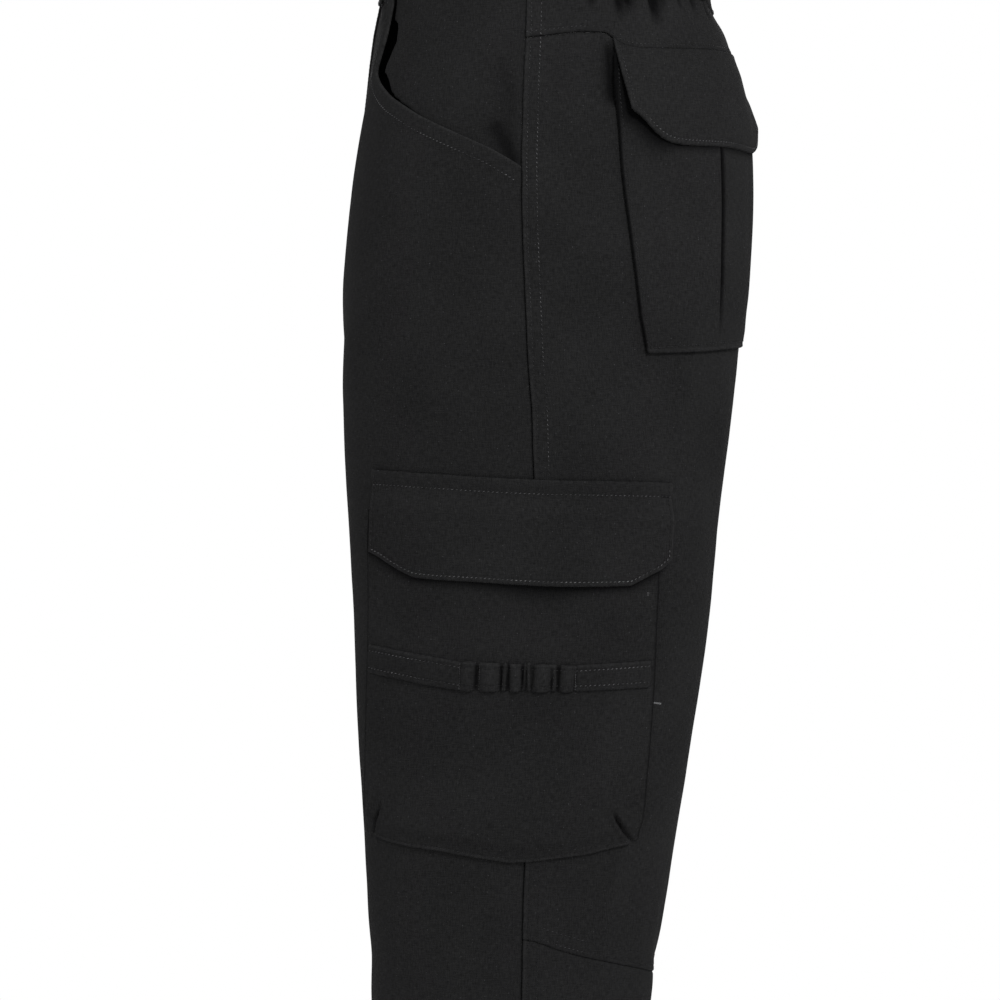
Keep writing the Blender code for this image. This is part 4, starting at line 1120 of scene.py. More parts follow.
loop_drop = (LOOP_PATH[0][0] + (LOOP_PATH[-1][0] - LOOP_PATH[0][0]) * graded(40, 0.9, 0.5)) * MM
loop_x = (-0.5 + graded(12, 0.8, 0.4)) * LOOP_WIDTH
drop, x = np.meshgrid(loop_drop, loop_x, indexing="ij")
edge_wear = 0.6 * bell((LOOP_WIDTH / 2 - np.abs(x)) / MM, 0.9)
for name, node, holder, leg, middle in LOOPS:
    reach = middle(drop) + x
    piece = shell("belt_loop_" + name, drop, reach, loop_height(drop, x), leg, LOOP_WALL,
                  wear_and_painted_shade=edge_wear)
    keep(piece, "belt_loop_" + node, "stretched", [holder], drop, reach)
print("belt loops:", len(LOOPS))

# %% [markdown]
# ## Back pockets
#
# A patch pocket is hemmed at its mouth and stitched down along its sides and foot, so it stands a
# little proud in the middle and rolls under at the edges, here as a quarter round.  An inverted
# pleat runs down its middle: one side laps over the other, which shows as a sharp step.  Each row
# of the grid is stretched between the two sides, with extra columns where the pleat falls.

# %% The back pockets
BACK_POCKET = (  # drop, and half of the width there
    (44, 86.4), (57, 86.3), (73, 85.2), (84, 84), (95, 82.6), (109, 81.7), (120, 81), (139, 79.2),
    (160, 76.8), (190, 74), (212, 72), (229, 69), (235, 68))
POCKET_TOP, POCKET_LENGTH = 44, 191
PLEAT_EASE = 1.1  # cloth that the pleat takes up
# How the foot rises towards the centre back: offset from the middle, and drop.
POCKET_FOOT = ((-70, 235), (-45, 234.2), (-21, 232.7), (25, 228.2), (70, 223))
PLEAT = chalk(((-6.8, 44), (-6.6, 103), (-6.4, 124), (-6.6, 143), (-8.6, 175), (-11.2, 210),
               (-12, 234)), 4)
FAINT_FOLD = chalk(((-21, 60), (-22.4, 110), (-24.4, 147), (-28.9, 191), (-31, 230)), 4)
POCKET_CREASES = (  # reach, drop, reach, drop, half width, depth, bow
    (0, 80, 100, 86, 180, 5, 0.55, 2), (0, 94, 98, 97, 150, 4, -0.4, 1),
    (0, 104, 104, 108, 220, 6, 0.7, -2), (0, 118, 108, 114, 190, 4, 0.5, 1),
    (0, 160, 104, 166, 200, 6, 0.5, 2), (0, 182, 100, 176, 170, 5, 0.6, -2),
    (0, 196, 120, 190, 212, 5, -0.3, 2), (0, 74, 180, 120, 222, 9, 0.35, 4),
    (0, 168, 226, 214, 190, 9, 0.4, -4),
)
HELD_SIDE = chalk(((62, 44), (64, 60), (68, 82)))  # where the flap's end presses the pocket down


def pocket_level(level, offset):
    """Drop of a level of the pocket, whose foot rises towards the centre back."""
    rise = (read_table(POCKET_FOOT, offset) - POCKET_TOP) / POCKET_LENGTH
    return POCKET_TOP + (level - POCKET_TOP) * rise


def back_pocket_height(drop, reach, leg):
    """Lift of the pocket: its rolled sides, flat foot, pleat and creases."""
    offset = (reach - BACK_MIDDLE) / MM
    half = read_table(BACK_POCKET, drop / MM)
    side = half - np.abs(offset)
    foot = pocket_level(POCKET_TOP + POCKET_LENGTH, offset) - drop / MM
    fold = np.sqrt(1 - (1 - np.clip(side / 1.2, 0, 1)) ** 2)
    flat = 1 - (1 - soft(foot, 2.5, 11.0)) * 0.55
    top = soft(drop / MM, 44, 74)
    height = 1.5 - 0.9 * beside(HELD_SIDE, drop, reach, 6.0)
    height += (0.6 + 0.7 * fold * flat + 0.5 * bell(offset, 52) * soft(foot, 4, 60)) * top
    height -= 0.3 * bell(foot - 2.2, 0.9) + 0.12 * bell(side - 2.6, 0.9)
    pleat = np.interp(drop, PLEAT[:, 1], PLEAT[:, 0]) / MM
    depth = 2.9 * (0.45 + 0.55 * soft(foot, 6, 60)) * soft(foot, 1, 14)
    off_pleat = offset - pleat
    height -= depth * np.where(off_pleat > 0, bell(off_pleat, 1.5), bell(off_pleat, 0.6))
    height += (0.5 * bell(off_pleat + 2.2, 1.8) + 0.3 * bell(off_pleat - 4, 3)) * soft(foot, 1, 30)
    faint = offset - np.interp(drop, FAINT_FOLD[:, 1], FAINT_FOLD[:, 0]) / MM
    height -= 0.6 * bell(faint, 2.2) * soft(foot, 20, 70)
    height += 0.15 * uneven(111 + leg, reach / (9 * MM), drop / (40 * MM)) * flat
    return height * MM - line_creases(POCKET_CREASES, leg, drop, reach)


def close_at(parts, places, width, count=6):
    """Extra columns on both sides of some parts of the width, such as a pleat."""
    extra = [place + width * k / count for place in places for k in range(-count, count + 1)]
    return np.unique(np.round(np.concatenate([parts, extra]), 4))


pocket_drop = (POCKET_TOP + POCKET_LENGTH * graded(POCKET_LENGTH, 2.8, 0.8))[:, None] * MM
pocket_half = read_table(BACK_POCKET, pocket_drop / MM) * MM
columns = close_at(graded(150, 2.8, 0.6), (0.5,), 0.024)[None, :]
pleat_reach = BACK_MIDDLE + read_table(PLEAT[:, ::-1], pocket_drop)
before_pleat = BACK_MIDDLE - pocket_half + (
    pleat_reach - BACK_MIDDLE + pocket_half) * 2 * columns
past_pleat = pleat_reach + (BACK_MIDDLE + pocket_half - pleat_reach) * (2 * columns - 1)
reach = np.where(columns < 0.5, before_pleat, past_pleat)
drop = pocket_level(pocket_drop / MM, (reach - BACK_MIDDLE) / MM) * MM
above_foot = (pocket_drop[-1] - pocket_drop) / MM
side_edge = (pocket_half - np.abs(reach - BACK_MIDDLE)) / MM
off_pleat = (reach - pleat_reach) / MM
# Paler with wear along the foot; painted shade along the sides, in the pleat and beside the flap's
# edge, where flap_shade is the width of that painted shadow in millimetres.
flap_shade = 3.0 + 6.5 * soft((BACK_MIDDLE - reach) / MM, 40, 62)
worn_and_shaded = 0.3 * bell(above_foot - 1.4, 0.9) - 0.9 * bell(side_edge, 0.8) - np.maximum(
    0.95 * bell(off_pleat - 1.3, 1.9) * soft(above_foot, 2, 50),
    0.95 * beside(back_flap_line, drop, reach, flap_shade))
for leg, side in SIDES:
    piece = shell("back_patch_pocket_" + side, drop, reach,
                  back_pocket_height(drop, reach, leg), leg, wear_and_painted_shade=worn_and_shaded)
    keep(piece, "back_pocket_" + side, "laid", ["back_" + side], drop, reach, ease=PLEAT_EASE)
print("back pocket faces:", len(piece.data.polygons))

# %% [markdown]
# ## Cargo pockets
#
# A bellows pocket lies across the side seam and stands prouder than a patch pocket, because its
# sides are folded under.  Its foot is curved and stitched flat, and where the fold meets the foot
# each corner throws a short deep crease.  The grid is closer there.

# %% The cargo pockets
CARGO_POCKET = (  # reach and drop of the foot
    (-119, 541), (-114, 542.3), (-105, 544), (-95, 545.8), (-84, 547.4), (-70, 549), (-57, 550.4),
    (-42, 552.8), (-28, 555), (-10, 557.4), (2, 557), (18, 555), (40, 552), (56, 548.5),
    (66, 545.8), (74, 543),
)
CARGO_FRONT, CARGO_BACK, CARGO_TOP = -119, 74, 334
cargo_foot = chalk(CARGO_POCKET)
CARGO_CREASES = (
    (0, 51.5, 524, 76, 551, 1.4, 3.8, 2.4), (0, 41, 506, 64, 536, 3.2, -1.6, 2.6),
    (0, 47, 522, 60, 546, 2.4, 1, 2), (0, 46, 508, 48, 534, 3, 1, -2.5),
    (0, 40, 512, 43, 538, 4.5, -0.6, 0), (0, -99, 519, -112, 545, 1.5, 3.4, -1.6),
    (0, -106, 512, -114, 534, 3, -1.2, 0), (0, -101, 512, -102.5, 534, 3, 0.8, 2),
    (0, -104, 394, -70, 420, 8, 0.5, 3), (0, -92, 470, -40, 520, 13, 0.5, 6),
    (0, 60, 470, 20, 530, 13, 0.4, -6), (0, -30, 392, 34, 400, 8, 0.7, -2),
    (1, -74, 452, -66, 536, 9, 0.35, 3), (0, 30, 452, 44, 500, 8, -0.3, 3),
    (-1, -60, 460, -70, 530, 10, 0.4, 4),
)


def from_side(reach):
    """Distance from the nearer side of the cargo pocket, in millimetres."""
    return np.minimum(reach / MM - CARGO_FRONT, CARGO_BACK - reach / MM)


def cargo_height(drop, reach, leg):
    """Lift of the pocket, under its strap and flap too, which lie on it."""
    r, d = reach / MM, drop / MM
    side = from_side(reach)
    foot = (read_line(cargo_foot, reach) - drop) / MM
    fold = np.sqrt(1 - (1 - np.clip(side / 1.6, 0, 1)) ** 2)
    flat = soft(foot, 2.0, 13.0)
    top = soft(d, CARGO_TOP - 4, CARGO_TOP + 20)
    height = 1.5 + 0.9 * flat + (2.6 * fold * (0.2 + 0.8 * flat)) * top
    height += 1.4 * bell(r + 20, 75) * soft(foot, 5, 70) * top
    height -= 0.32 * bell(foot - 1.7, 0.8)
    height += 0.3 * uneven(121 + leg, reach / (7 * MM)) * bell(foot - 3, 5)
    height += 0.22 * uneven(124 + leg, reach / (26 * MM), drop / (34 * MM)) * flat
    return height * MM - line_creases(CARGO_CREASES, leg, drop, reach)


columns = close_at(graded(193, 2.9, 0.6), (0.07, 0.925), 0.045, count=9)
reach = (CARGO_FRONT + (CARGO_BACK - CARGO_FRONT) * columns)[None, :] * MM
share = close_at(graded(215, 2.9, 0.7), (0.94,), 0.05, count=9)[:, None]
drop = CARGO_TOP * MM + (read_line(cargo_foot, reach) - CARGO_TOP * MM) * share
reach = np.broadcast_to(reach, drop.shape)
above_foot = (read_line(cargo_foot, reach) - drop) / MM
# Paler with wear along the foot; painted shade along both sides and under the flap's edge, whose
# painted shadow, flap_shade in millimetres, is widest near the middle.
flap_shade = 4.0 + 4.0 * bell(reach / MM + 4, 26)
worn_and_shaded = 0.4 * bell(above_foot - 0.9, 0.8) - np.maximum(
    0.95 * bell(from_side(reach) - 0.8, 1.3),
    0.9 * beside(cargo_flap_line, drop, reach, flap_shade))
for leg, side in SIDES:
    piece = shell("cargo_patch_pocket_" + side, drop, reach, cargo_height(drop, reach, leg), leg,
                  wear_and_painted_shade=worn_and_shaded)
    keep(piece, "cargo_pocket_" + side, "laid", ["front_" + side, "back_" + side], drop, reach)
print("cargo pocket faces:", len(piece.data.polygons))

# %% [markdown]
# ## Flaps
#
# A flap is doubled cloth that is stitched down along its top.  It hangs free over the pocket and
# lifts at its corners and foot, so it throws a soft shadow.  Its edge is rolled over a bead of
# turned cloth, with the topstitching in a shallow dip beside it.

# %% The flaps of both pockets
FLAP_STEP, FLAP_ROW = 2.3, 3.2  # width of a square in the middle, and the stitch row, in mm


def flap_grid(table):
    """Drops and reaches of a flap's places, and how far down the flap each one is."""
    rows = np.array(table)
    run = run_of(rows[:, [1, 3]])
    wanted = graded(run[-1], FLAP_STEP, 0.6) * run[-1]
    wanted = np.unique(np.concatenate([wanted, run]))
    line = [np.interp(wanted, run, rows[:, k]) for k in range(4)]
    share = graded(70, FLAP_STEP, 0.6)[:, None]
    drop = line[2] + (line[3] - line[2]) * share
    reach = line[0] + (line[1] - line[0]) * share
    return drop * MM, reach * MM, share + 0 * drop


def edge_roll(outline, drop, reach, seed):
    """Rolled edge, stitch dip and puckers of a flap, in metres."""
    away, along = nearest(outline, drop, reach)
    d = away / MM
    rolled = rolled_edge(d, 1.0, 1.7)
    bead = 0.3 * bell(d - 1.6, 1.1) - 0.32 * bell(d - FLAP_ROW, 0.9)
    waves = 0.22 * uneven(seed, along / (7 * MM)) * bell(d - 2, 5)
    return (rolled + bead + waves) * MM


def cargo_flap_height(drop, reach, share, leg):
    relief = edge_roll(cargo_flap_line, drop, reach, 131 + leg)
    top = read_table([(row[0], row[2]) for row in CARGO_FLAP], reach / MM)
    down = drop / MM - top
    tacked = bell(np.maximum(np.abs(reach / MM + 14) - 60, 0), 22)
    height = 2.7 + (3.6 - 1.3 * (1 - tacked) * (1 - share)) * soft(down, 9.0, 24.0)
    height += 0.25 * bell(down - 4, 4) - 0.35 * bell(down - 8.8, 0.9)
    height += rolled_edge(down, 0.7, 1.4)
    height += 1.3 * share ** 2 + 2.6 * share ** 3 * bell(reach / MM - 10, 34)
    height += 0.5 * share ** 2 * uneven(134 + leg, reach / (34 * MM))
    height += 0.25 * uneven(137 + leg, reach / (22 * MM), drop / (17 * MM)) * soft(down, 9, 30)
    return height * MM + relief * soft(share, 0.05, 0.2)


def back_flap_height(drop, reach, share, leg):
    relief = edge_roll(back_flap_line, drop, reach, 141 + leg)
    top = read_line(yoke_seam, reach) / MM
    down = drop / MM - top
    sideways = np.abs(reach - BACK_MIDDLE) / MM
    height = 1.7 + 1.0 * soft(down, 1.0, 14.0) + 0.8 * share + 1.6 * share ** 2
    height += 3.4 * soft(share, 0.05, 1.0) * bell(np.maximum(76 - sideways, 0), 17)
    height += 0.5 * share * uneven(144 + leg, reach / (30 * MM))
    height += 0.3 * uneven(147 + leg, reach / (18 * MM), drop / (20 * MM)) * soft(down, 5, 25)
    return height * MM + relief * soft(share, 0.05, 0.25)


FLAPS = (  # piece, node, pocket below it, places, lift
    ("cargo_pocket_flap_", "cargo_flap_", "cargo_pocket_", CARGO_FLAP, cargo_flap_height),
    ("back_pocket_flap_", "back_flap_", "back_pocket_", BACK_FLAP, back_flap_height),
)
for name, node, pocket, table, height in FLAPS:
    drop, reach, share = flap_grid(table)
    worn_and_shaded = 0.4 * bell(nearest(flap_outline(table), drop, reach)[0] / MM - 0.7, 1.0)
    for leg, side in SIDES:
        piece = shell(name + side, drop, reach, height(drop, reach, share, leg), leg, wear_and_painted_shade=worn_and_shaded)
        keep(piece, node + side, "hung", [pocket + side], drop, reach)
    print(name + side, "faces:", len(piece.data.polygons))

# %% [markdown]
# ## The strap
#
# A strap of doubled cloth crosses the cargo pocket.  An elastic inside draws its middle together
# between tacks, so it stands up in small uneven puffs with dark folds between them.

# %% The straps across the cargo pockets
# Reach, and the drops of the upper and the lower edge.
STRAP = ((-114.5, 420.4, 437.6), (-101, 422, 439.8), (-90, 423.7, 441.3), (-76, 425.8, 443.7),
         (-60, 428.3, 446.2), (-50, 430, 447.8), (22, 432, 448.2), (40, 431, 447.5),
         (56, 430, 446.6), (68.5, 429.2, 446))
STRAP_WIDTH, STRAP_EASE = 17.6, 1.2  # in millimetres, and the cloth that its elastic gathers
TACKS, FINE_TACKS = (-50, -37.8, 21.3), (-23.2, -7.6, 7.9)  # reaches of the rows across it
STRAP_SHADED_FOLDS = (-39.6, -24.2, -20.0, -11.1, 11.1)  # the folds where the painted shade is darkest
# Puffs of the gathered middle: where each starts and ends, its height, and how far its upper and
# lower edges bulge.
PUFFS = ((-49.7, -40.3, 2.1, 0.5, 0.5), (-37.6, -24.8, 2.4, 0, 0.4), (-23.6, -20.8, 1.7, 0.3, 0),
         (-19.2, -11.7, 2.5, -0.4, 0.5), (-10.8, -9.2, 1.6, 0.7, -0.5),
         (-8.6, -6.2, 2.1, 0.9, -0.4), (-4.6, 6.6, 2.6, 0.2, 0.7), (7.1, 9.8, 2, 0, -0.2),
         (11.7, 20.9, 2.3, -0.3, 0.6))


def strap_edges(reach):
    """Upper and lower edge of the strap, with the bulges of its puffs, in metres."""
    r = reach / MM
    table = np.array(STRAP)
    upper = np.interp(r, table[:, 0], table[:, 1])
    lower = np.interp(r, table[:, 0], table[:, 2])
    for start, end, _, high, low in PUFFS:
        t = np.clip((r - start) / (end - start), 0, 1)
        upper = upper - high * np.sin(np.pi * t)
        lower = lower + low * np.sin(np.pi * t)
    return upper * MM, lower * MM


def gathered_middle(r):
    """1 over the elastic, 0 over the flat ends, at reaches in millimetres."""
    return soft(r, -51, -49) * (1 - soft(r, 21, 23))


def strap_puffs(r, share):
    """Height of the puffs of the strap's middle, in millimetres."""
    puff = np.zeros(np.shape(r))
    for k, (start, end, high, _, _) in enumerate(PUFFS):
        lean = 0.8 * (share - 0.5) * (-1) ** k
        t = np.clip((r + lean - start) / (end - start), 0, 1)
        puff = np.maximum(puff, high * np.sin(np.pi * t) ** 0.45 * (
            1 - 0.25 * (2 * share - 1) ** 2))
    return puff


def from_edge(share):
    """Distance from the strap's nearer edge, in millimetres."""
    return np.minimum(share, 1 - share) * STRAP_WIDTH


def strap_height(drop, reach, share, leg):
    """Lift of the strap, which lies on the cargo pocket."""
    r, edge = reach / MM, from_edge(share)
    rolled = rolled_edge(edge, 0.8, 1.5)
    dips = -0.25 * bell(edge - 3.2, 0.8)
    middle = gathered_middle(r)
    fine = 0.35 * uneven(151 + leg, reach / (2.6 * MM), share * 1.5)
    return cargo_height(drop, reach, leg) + LAY + WALL + (
        0.3 + rolled + dips + strap_puffs(r, share) + middle * fine - 0.9 * middle) * MM


front_end, rear_end = -114.5 + 64 * graded(64, 1.8, 0.6), 22.6 + 45.9 * graded(46, 1.6, 0.6)
columns = np.concatenate([front_end, np.arange(-49.9, 22.4, 0.62), rear_end])
share = graded(18, 1.1, 0.6)[:, None]
upper, lower = strap_edges(columns * MM)
drop = upper + (lower - upper) * share
reach = np.broadcast_to(columns * MM, drop.shape)
share = np.broadcast_to(share, drop.shape)
puffed = strap_puffs(reach / MM, share)
# Paler with wear along the edges and, on the crowns of the puffs, wear and painted highlight;
# painted shade between the puffs, darkest in the listed folds.
strap_fold_shade = sum(0.45 * bell(reach / MM - dark, 1.3) for dark in STRAP_SHADED_FOLDS)
worn_and_shaded = 0.3 * bell(from_edge(share) - 0.6, 0.8) + gathered_middle(reach / MM) * (
    0.3 * soft(puffed, 1.4, 2.6) - 0.5 * (1 - soft(puffed, 0.1, 1.2)) - strap_fold_shade)
for leg, side in SIDES:
    piece = shell("pocket_strap_" + side, drop, reach, strap_height(drop, reach, share, leg), leg,
                  wear_and_painted_shade=worn_and_shaded)
    keep(piece, "cargo_strap_" + side, "gathered", ["cargo_pocket_" + side], drop, reach,
         slot="strap", ease=STRAP_EASE)
print("strap faces:", len(piece.data.polygons))

# %% [markdown]
# ## The waist button
#
# A sewn button is a turned disc with a raised rim and four holes.  One height over a round grid
# gives its top face, so the holes are real hollows.

# %% The button on the waistband's tab
BUTTON_RADIUS, BUTTON_HEIGHT = 8.5 * MM, 3 * MM
BUTTON_DROP, BUTTON_PAST = -20 * MM, 9 * MM  # half way up the band, and past the centre
# Part of the radius, and part of the height there.
BUTTON_RINGS = ((0.0, 0.6), (0.62, 0.6), (0.72, 0.85), (0.82, 0.98), (0.9, 1.0), (0.96, 0.92),
                (1.0, 0.7))
HOLE_PLACE, HOLE_RADIUS, HOLE_DEPTH = 1.9 * MM, 0.95 * MM, 1.4 * MM
BUTTON_TURNS = 64


def button_frame():
    """Middle of the button's seat, and its right, up and outward directions."""
    length = front_length(BUTTON_DROP)
    lift = BAND_OUT + TAB_LIFT + LAY
    place, outward = cloth(np.array([BUTTON_DROP]), np.array([-length - BUTTON_PAST]), lift, 1)
    outward = outward[0]
    right = np.cross([0, 0, 1.0], outward)
    right /= np.linalg.norm(right)
    return place[0], right, np.cross(outward, right), outward


def build_button():
    """A closed disc: rings of the top face from the middle out, then the side and the bottom."""
    radii = np.concatenate([np.linspace(0.03, 0.62, 16), np.linspace(0.66, 1.0, 12)])
    turn = np.linspace(0, 2 * math.pi, BUTTON_TURNS, endpoint=False)
    x = radii[:, None] * np.cos(turn) * BUTTON_RADIUS
    y = radii[:, None] * np.sin(turn) * BUTTON_RADIUS
    z = read_table(BUTTON_RINGS, radii)[:, None] * BUTTON_HEIGHT + 0 * x
    hole = np.hypot(np.abs(x) - HOLE_PLACE * 0.75, np.abs(y) - HOLE_PLACE * 0.75)
    z = z - HOLE_DEPTH * (1 - soft(hole, HOLE_RADIUS * 0.75, HOLE_RADIUS))
    foot = 0.95 * BUTTON_RADIUS * np.stack([np.cos(turn), np.sin(turn)])
    middle, right, up_way, outward = button_frame()
    x = np.vstack([x, x[-1:], foot[:1]])
    y = np.vstack([y, y[-1:], foot[1:]])
    z = np.vstack([z, np.full((1, BUTTON_TURNS), 0.12 * BUTTON_HEIGHT), 0 * turn[None, :]])
    points = np.stack([x, y, z], axis=-1).reshape(-1, 3) @ np.stack([right, up_way, outward])
    rings = len(x)
    caps = np.array([[0, 0, z[0, 0]], [0, 0, 0]]) @ np.stack([right, up_way, outward])
    points = np.concatenate([points, caps]) + middle
    k = np.arange(BUTTON_TURNS)
    after = (k + 1) % BUTTON_TURNS
    faces = []
    for ring in range(rings - 1):
        a, b = ring * BUTTON_TURNS, (ring + 1) * BUTTON_TURNS
        faces += np.stack([a + k, b + k, b + after, a + after], axis=1).tolist()
    last = (rings - 1) * BUTTON_TURNS
    faces += np.stack([k, after, np.full(len(k), len(points) - 2)], axis=1).tolist()
    faces += np.stack([last + after, last + k, np.full(len(k), len(points) - 1)], axis=1).tolist()
    mesh = bpy.data.meshes.new("sewn_button")
    mesh.from_pydata(points.tolist(), [], faces)
    mesh.shade_smooth()
    button = bpy.data.objects.new("sewn_button", mesh)
    scene.collection.objects.link(button)
    return button


button = build_button()
print("button faces:", len(button.data.polygons))

# %% [markdown]
# ## Rows of stitches
#
# Topstitching shows as short raised bars of thread, one for each stitch.  A Geometry Nodes tree
# places them: it takes lines that lie on the cloth, divides each by the stitch length, and puts a
# small bead of thread at every place, turned along the line and standing on the cloth.  The same
# tree sews the dense bars of a bartack when the pitch is small and the beads are turned across.

# %% The tree that sews
def sewing_tree():
    """The node tree that turns bare lines into rows of thread."""
    tree = bpy.data.node_groups.new("sew along lines", "GeometryNodeTree")
    tree.is_modifier = True
    face = tree.interface
    face.new_socket("Geometry", in_out="INPUT", socket_type="NodeSocketGeometry")
    for name, kind in (("Pitch", "Float"), ("Length", "Float"), ("Width", "Float"),
                       ("Turn", "Float"), ("Seed", "Int"), ("Thread", "Material")):
        face.new_socket(name, in_out="INPUT", socket_type="NodeSocket" + kind)
    face.new_socket("Geometry", in_out="OUTPUT", socket_type="NodeSocketGeometry")

    def add(kind, settings=None, **links):
        """A node; a socket is named, or given by its number after an underscore."""
        node = tree.nodes.new(kind)
        for name, value in (settings or {}).items():
            setattr(node, name, value)
        for name, value in links.items():
            socket = node.inputs[int(name[1:])] if name[0] == "_" else node.inputs[name]
            if isinstance(value, bpy.types.NodeSocket):
                tree.links.new(value, socket)
            else:
                socket.default_value = value
        return node

    given = add("NodeGroupInput").outputs
    curve = add("GeometryNodeMeshToCurve", Mesh=given["Geometry"])
    spaced = add("GeometryNodeResampleCurve", {"mode": "LENGTH"}, Curve=curve.outputs[0],
                 Length=given["Pitch"])
    outward = add("GeometryNodeInputNamedAttribute", {"data_type": "FLOAT_VECTOR"}, Name="outward")
    axes = add("FunctionNodeAxesToRotation", {"primary_axis": "Z", "secondary_axis": "X"},
               _0=add("GeometryNodeInputTangent").outputs[0], _1=outward.outputs["Attribute"])
    wobble = add("FunctionNodeRandomValue", {"data_type": "FLOAT"}, _2=-0.13, _3=0.13,
                 Seed=given["Seed"])
    turned = add("ShaderNodeMath", {"operation": "ADD"}, _0=given["Turn"], _1=wobble.outputs[1])
    angles = add("ShaderNodeCombineXYZ", _0=turned.outputs[0])
    turn = add("FunctionNodeEulerToRotation", _0=angles.outputs[0])
    rotation = add("FunctionNodeRotateRotation", {"rotation_space": "LOCAL"},
                   _0=axes.outputs[0], _1=turn.outputs[0])
    size = add("FunctionNodeRandomValue", {"data_type": "FLOAT"}, _2=0.86, _3=1.06,
               Seed=given["Seed"])
    long = add("ShaderNodeMath", {"operation": "MULTIPLY"}, _0=given["Length"],
               _1=size.outputs[1])
    scale = add("ShaderNodeCombineXYZ", _0=given["Width"], _1=given["Width"], _2=long.outputs[0])
    bead = add("GeometryNodeMeshUVSphere", Segments=6, Rings=3, Radius=0.5)
    placed = add("GeometryNodeInstanceOnPoints", _0=spaced.outputs[0], Instance=bead.outputs[0],
                 Rotation=rotation.outputs[0], Scale=scale.outputs[0])
    real = add("GeometryNodeRealizeInstances", _0=placed.outputs[0])
    smooth = add("GeometryNodeSetShadeSmooth", _0=real.outputs[0])
    threaded = add("GeometryNodeSetMaterial", _0=smooth.outputs[0], Material=given["Thread"])
    add("NodeGroupOutput", Geometry=threaded.outputs[0])
    return tree


sewing = sewing_tree()
print("the sewing tree has", len(sewing.nodes), "nodes")

# %% [markdown]
# ## Where the rows run
#
# A row is noted as a line of reaches and drops on one piece.  To lie on the cloth, its places start
# above the piece and are dropped straight onto its outer face, so the thread follows every crease
# and pucker.

# %% Dropping a line onto a piece
ABOVE = 15 * MM  # height from which a place is dropped
THREAD_RISE = 0.12 * MM
STITCH_STEP, TACK_STEP, BARTACK_STEP = 1.2 * MM, 0.6 * MM, 0.4 * MM  # places along a row
surfaces = {}
stitch_rows = {}  # (region, style, side): list of (points, outward directions)


def surface_of(name):
    """The faces of a piece, sorted so that a ray finds them fast."""
    if name not in surfaces:
        mesh = bpy.data.objects[name].data
        surfaces[name] = BVHTree.FromPolygons([v.co for v in mesh.vertices],
                                              [p.vertices for p in mesh.polygons])
    return surfaces[name]


def sew(region, style, piece_name, line, leg, step=STITCH_STEP):
    """Note a row along a line of (reach, drop) places, in metres, on a piece."""
    line = divided(np.asarray(line, float), step, 2)
    surface = surface_of(piece_name)
    high, outward = cloth(line[:, 1], line[:, 0], ABOVE + 0 * line[:, 0], leg)
    points, ways = [], []
    for start, way in zip(high, outward):
        place = surface.ray_cast(start, -way, 2.5 * ABOVE)[0]
        if place is not None:
            points.append(np.array(place) + way * THREAD_RISE)
            ways.append(way)
    if len(points) > 1:
        noted = stitch_rows.setdefault((region, style, leg), [])
        noted.append((np.array(points), np.array(ways)))


def straight(*places):
    """A line through places in millimetres."""
    return np.array(places, float) * MM


def crossing(drop_of, start, end, length_of, count=240):
    """A line over part of the width at given drops, such as a row beside a seam."""
    parts = np.linspace(start, end, count)
    drops = drop_of(np.abs(parts)) + 0 * parts
    return np.stack([parts * length_of(drops), drops], axis=1)


def upright(place_of, start, end, count):
    """A line down a panel, between two drops in millimetres, at the reach of each drop."""
    drops = np.linspace(start, end, count) * MM
    return np.stack([place_of(drops), drops], axis=1)


def rows_noted():
    return sum(len(lines) for lines in stitch_rows.values())


print("rows noted before any is sewn:", rows_noted())

# %% [markdown]
# ## Rows on the panels
#
# The mouth of the pocket and the hem have one row each, felled seams two.  The thread is the same
# all over: a stretch in shade gets a darker copy of it as painted shade, a brightly lit stretch a
# paler copy as painted highlight, so a style goes with each stretch.

# %% Rows on the panels
MOUTH_ROW = 9.8  # stitch row beside the pocket's mouth
for leg, side in SIDES:
    front, yoke = "front_panel_" + side, "yoke_" + side
    back, lower = "back_panel_" + side, "lower_back_leg_" + side
    mouth_row = inset(mouth, MOUTH_ROW * MM)
    sew("front", "topstitch", front, mouth_row[(mouth_row[:, 1] > 0.6 * MM)
                                               & (mouth_row[:, 0] < -1 * MM)], leg)
    sew("front", "topstitch", front,
        crossing(lambda part: HEM_DROP - HEM_ROW * MM, -0.995, -0.005, front_length), leg)
    for row, style in zip(SIDE_ROWS, ("dim", "topstitch")):
        sew("back", style, yoke, straight((row, 0.8), (row, 32.0)), leg)
        sew("back", style, back, straight((row, 35), (row, 312)), leg)
        sew("back", "sunken", back, straight((row, 560), (row, 605)), leg)
        sew("back", "sunken", lower, straight((row, 610), (row, 1037)), leg)
    sew("back", "dim", yoke,
        crossing(lambda part: yoke_drop(part) - YOKE_ROW * MM, 0.003, 0.997, back_length), leg)
    for row in KNEE_ROWS:
        for start, end, style in ((0.01, 0.045, "dim"), (0.05, 0.145, "topstitch"),
                                  (0.15, 0.997, "sunken")):
            sew("back", style, back, crossing(lambda part: knee_drop(part) - row * MM, start, end,
                                              back_length), leg)
    sew("back", "topstitch", lower,
        crossing(lambda part: HEM_DROP - HEM_ROW * MM, 0.005, 0.995, back_length), leg)
for row in SEAT_ROWS:
    for piece_name, start, end, count in (("yoke_left", 1, 34, 12),
                                          ("back_panel_left", 38, 258, 90)):
        sew("back", "topstitch", piece_name,
            upright(lambda drops: back_length(drops) - row * MM, start, end, count), 1)
    sew("front", "topstitch", "front_panel_left",
        upright(lambda drops: row * MM - front_length(drops), 172, 260, 40), 1)
print("rows on the panels:", rows_noted())

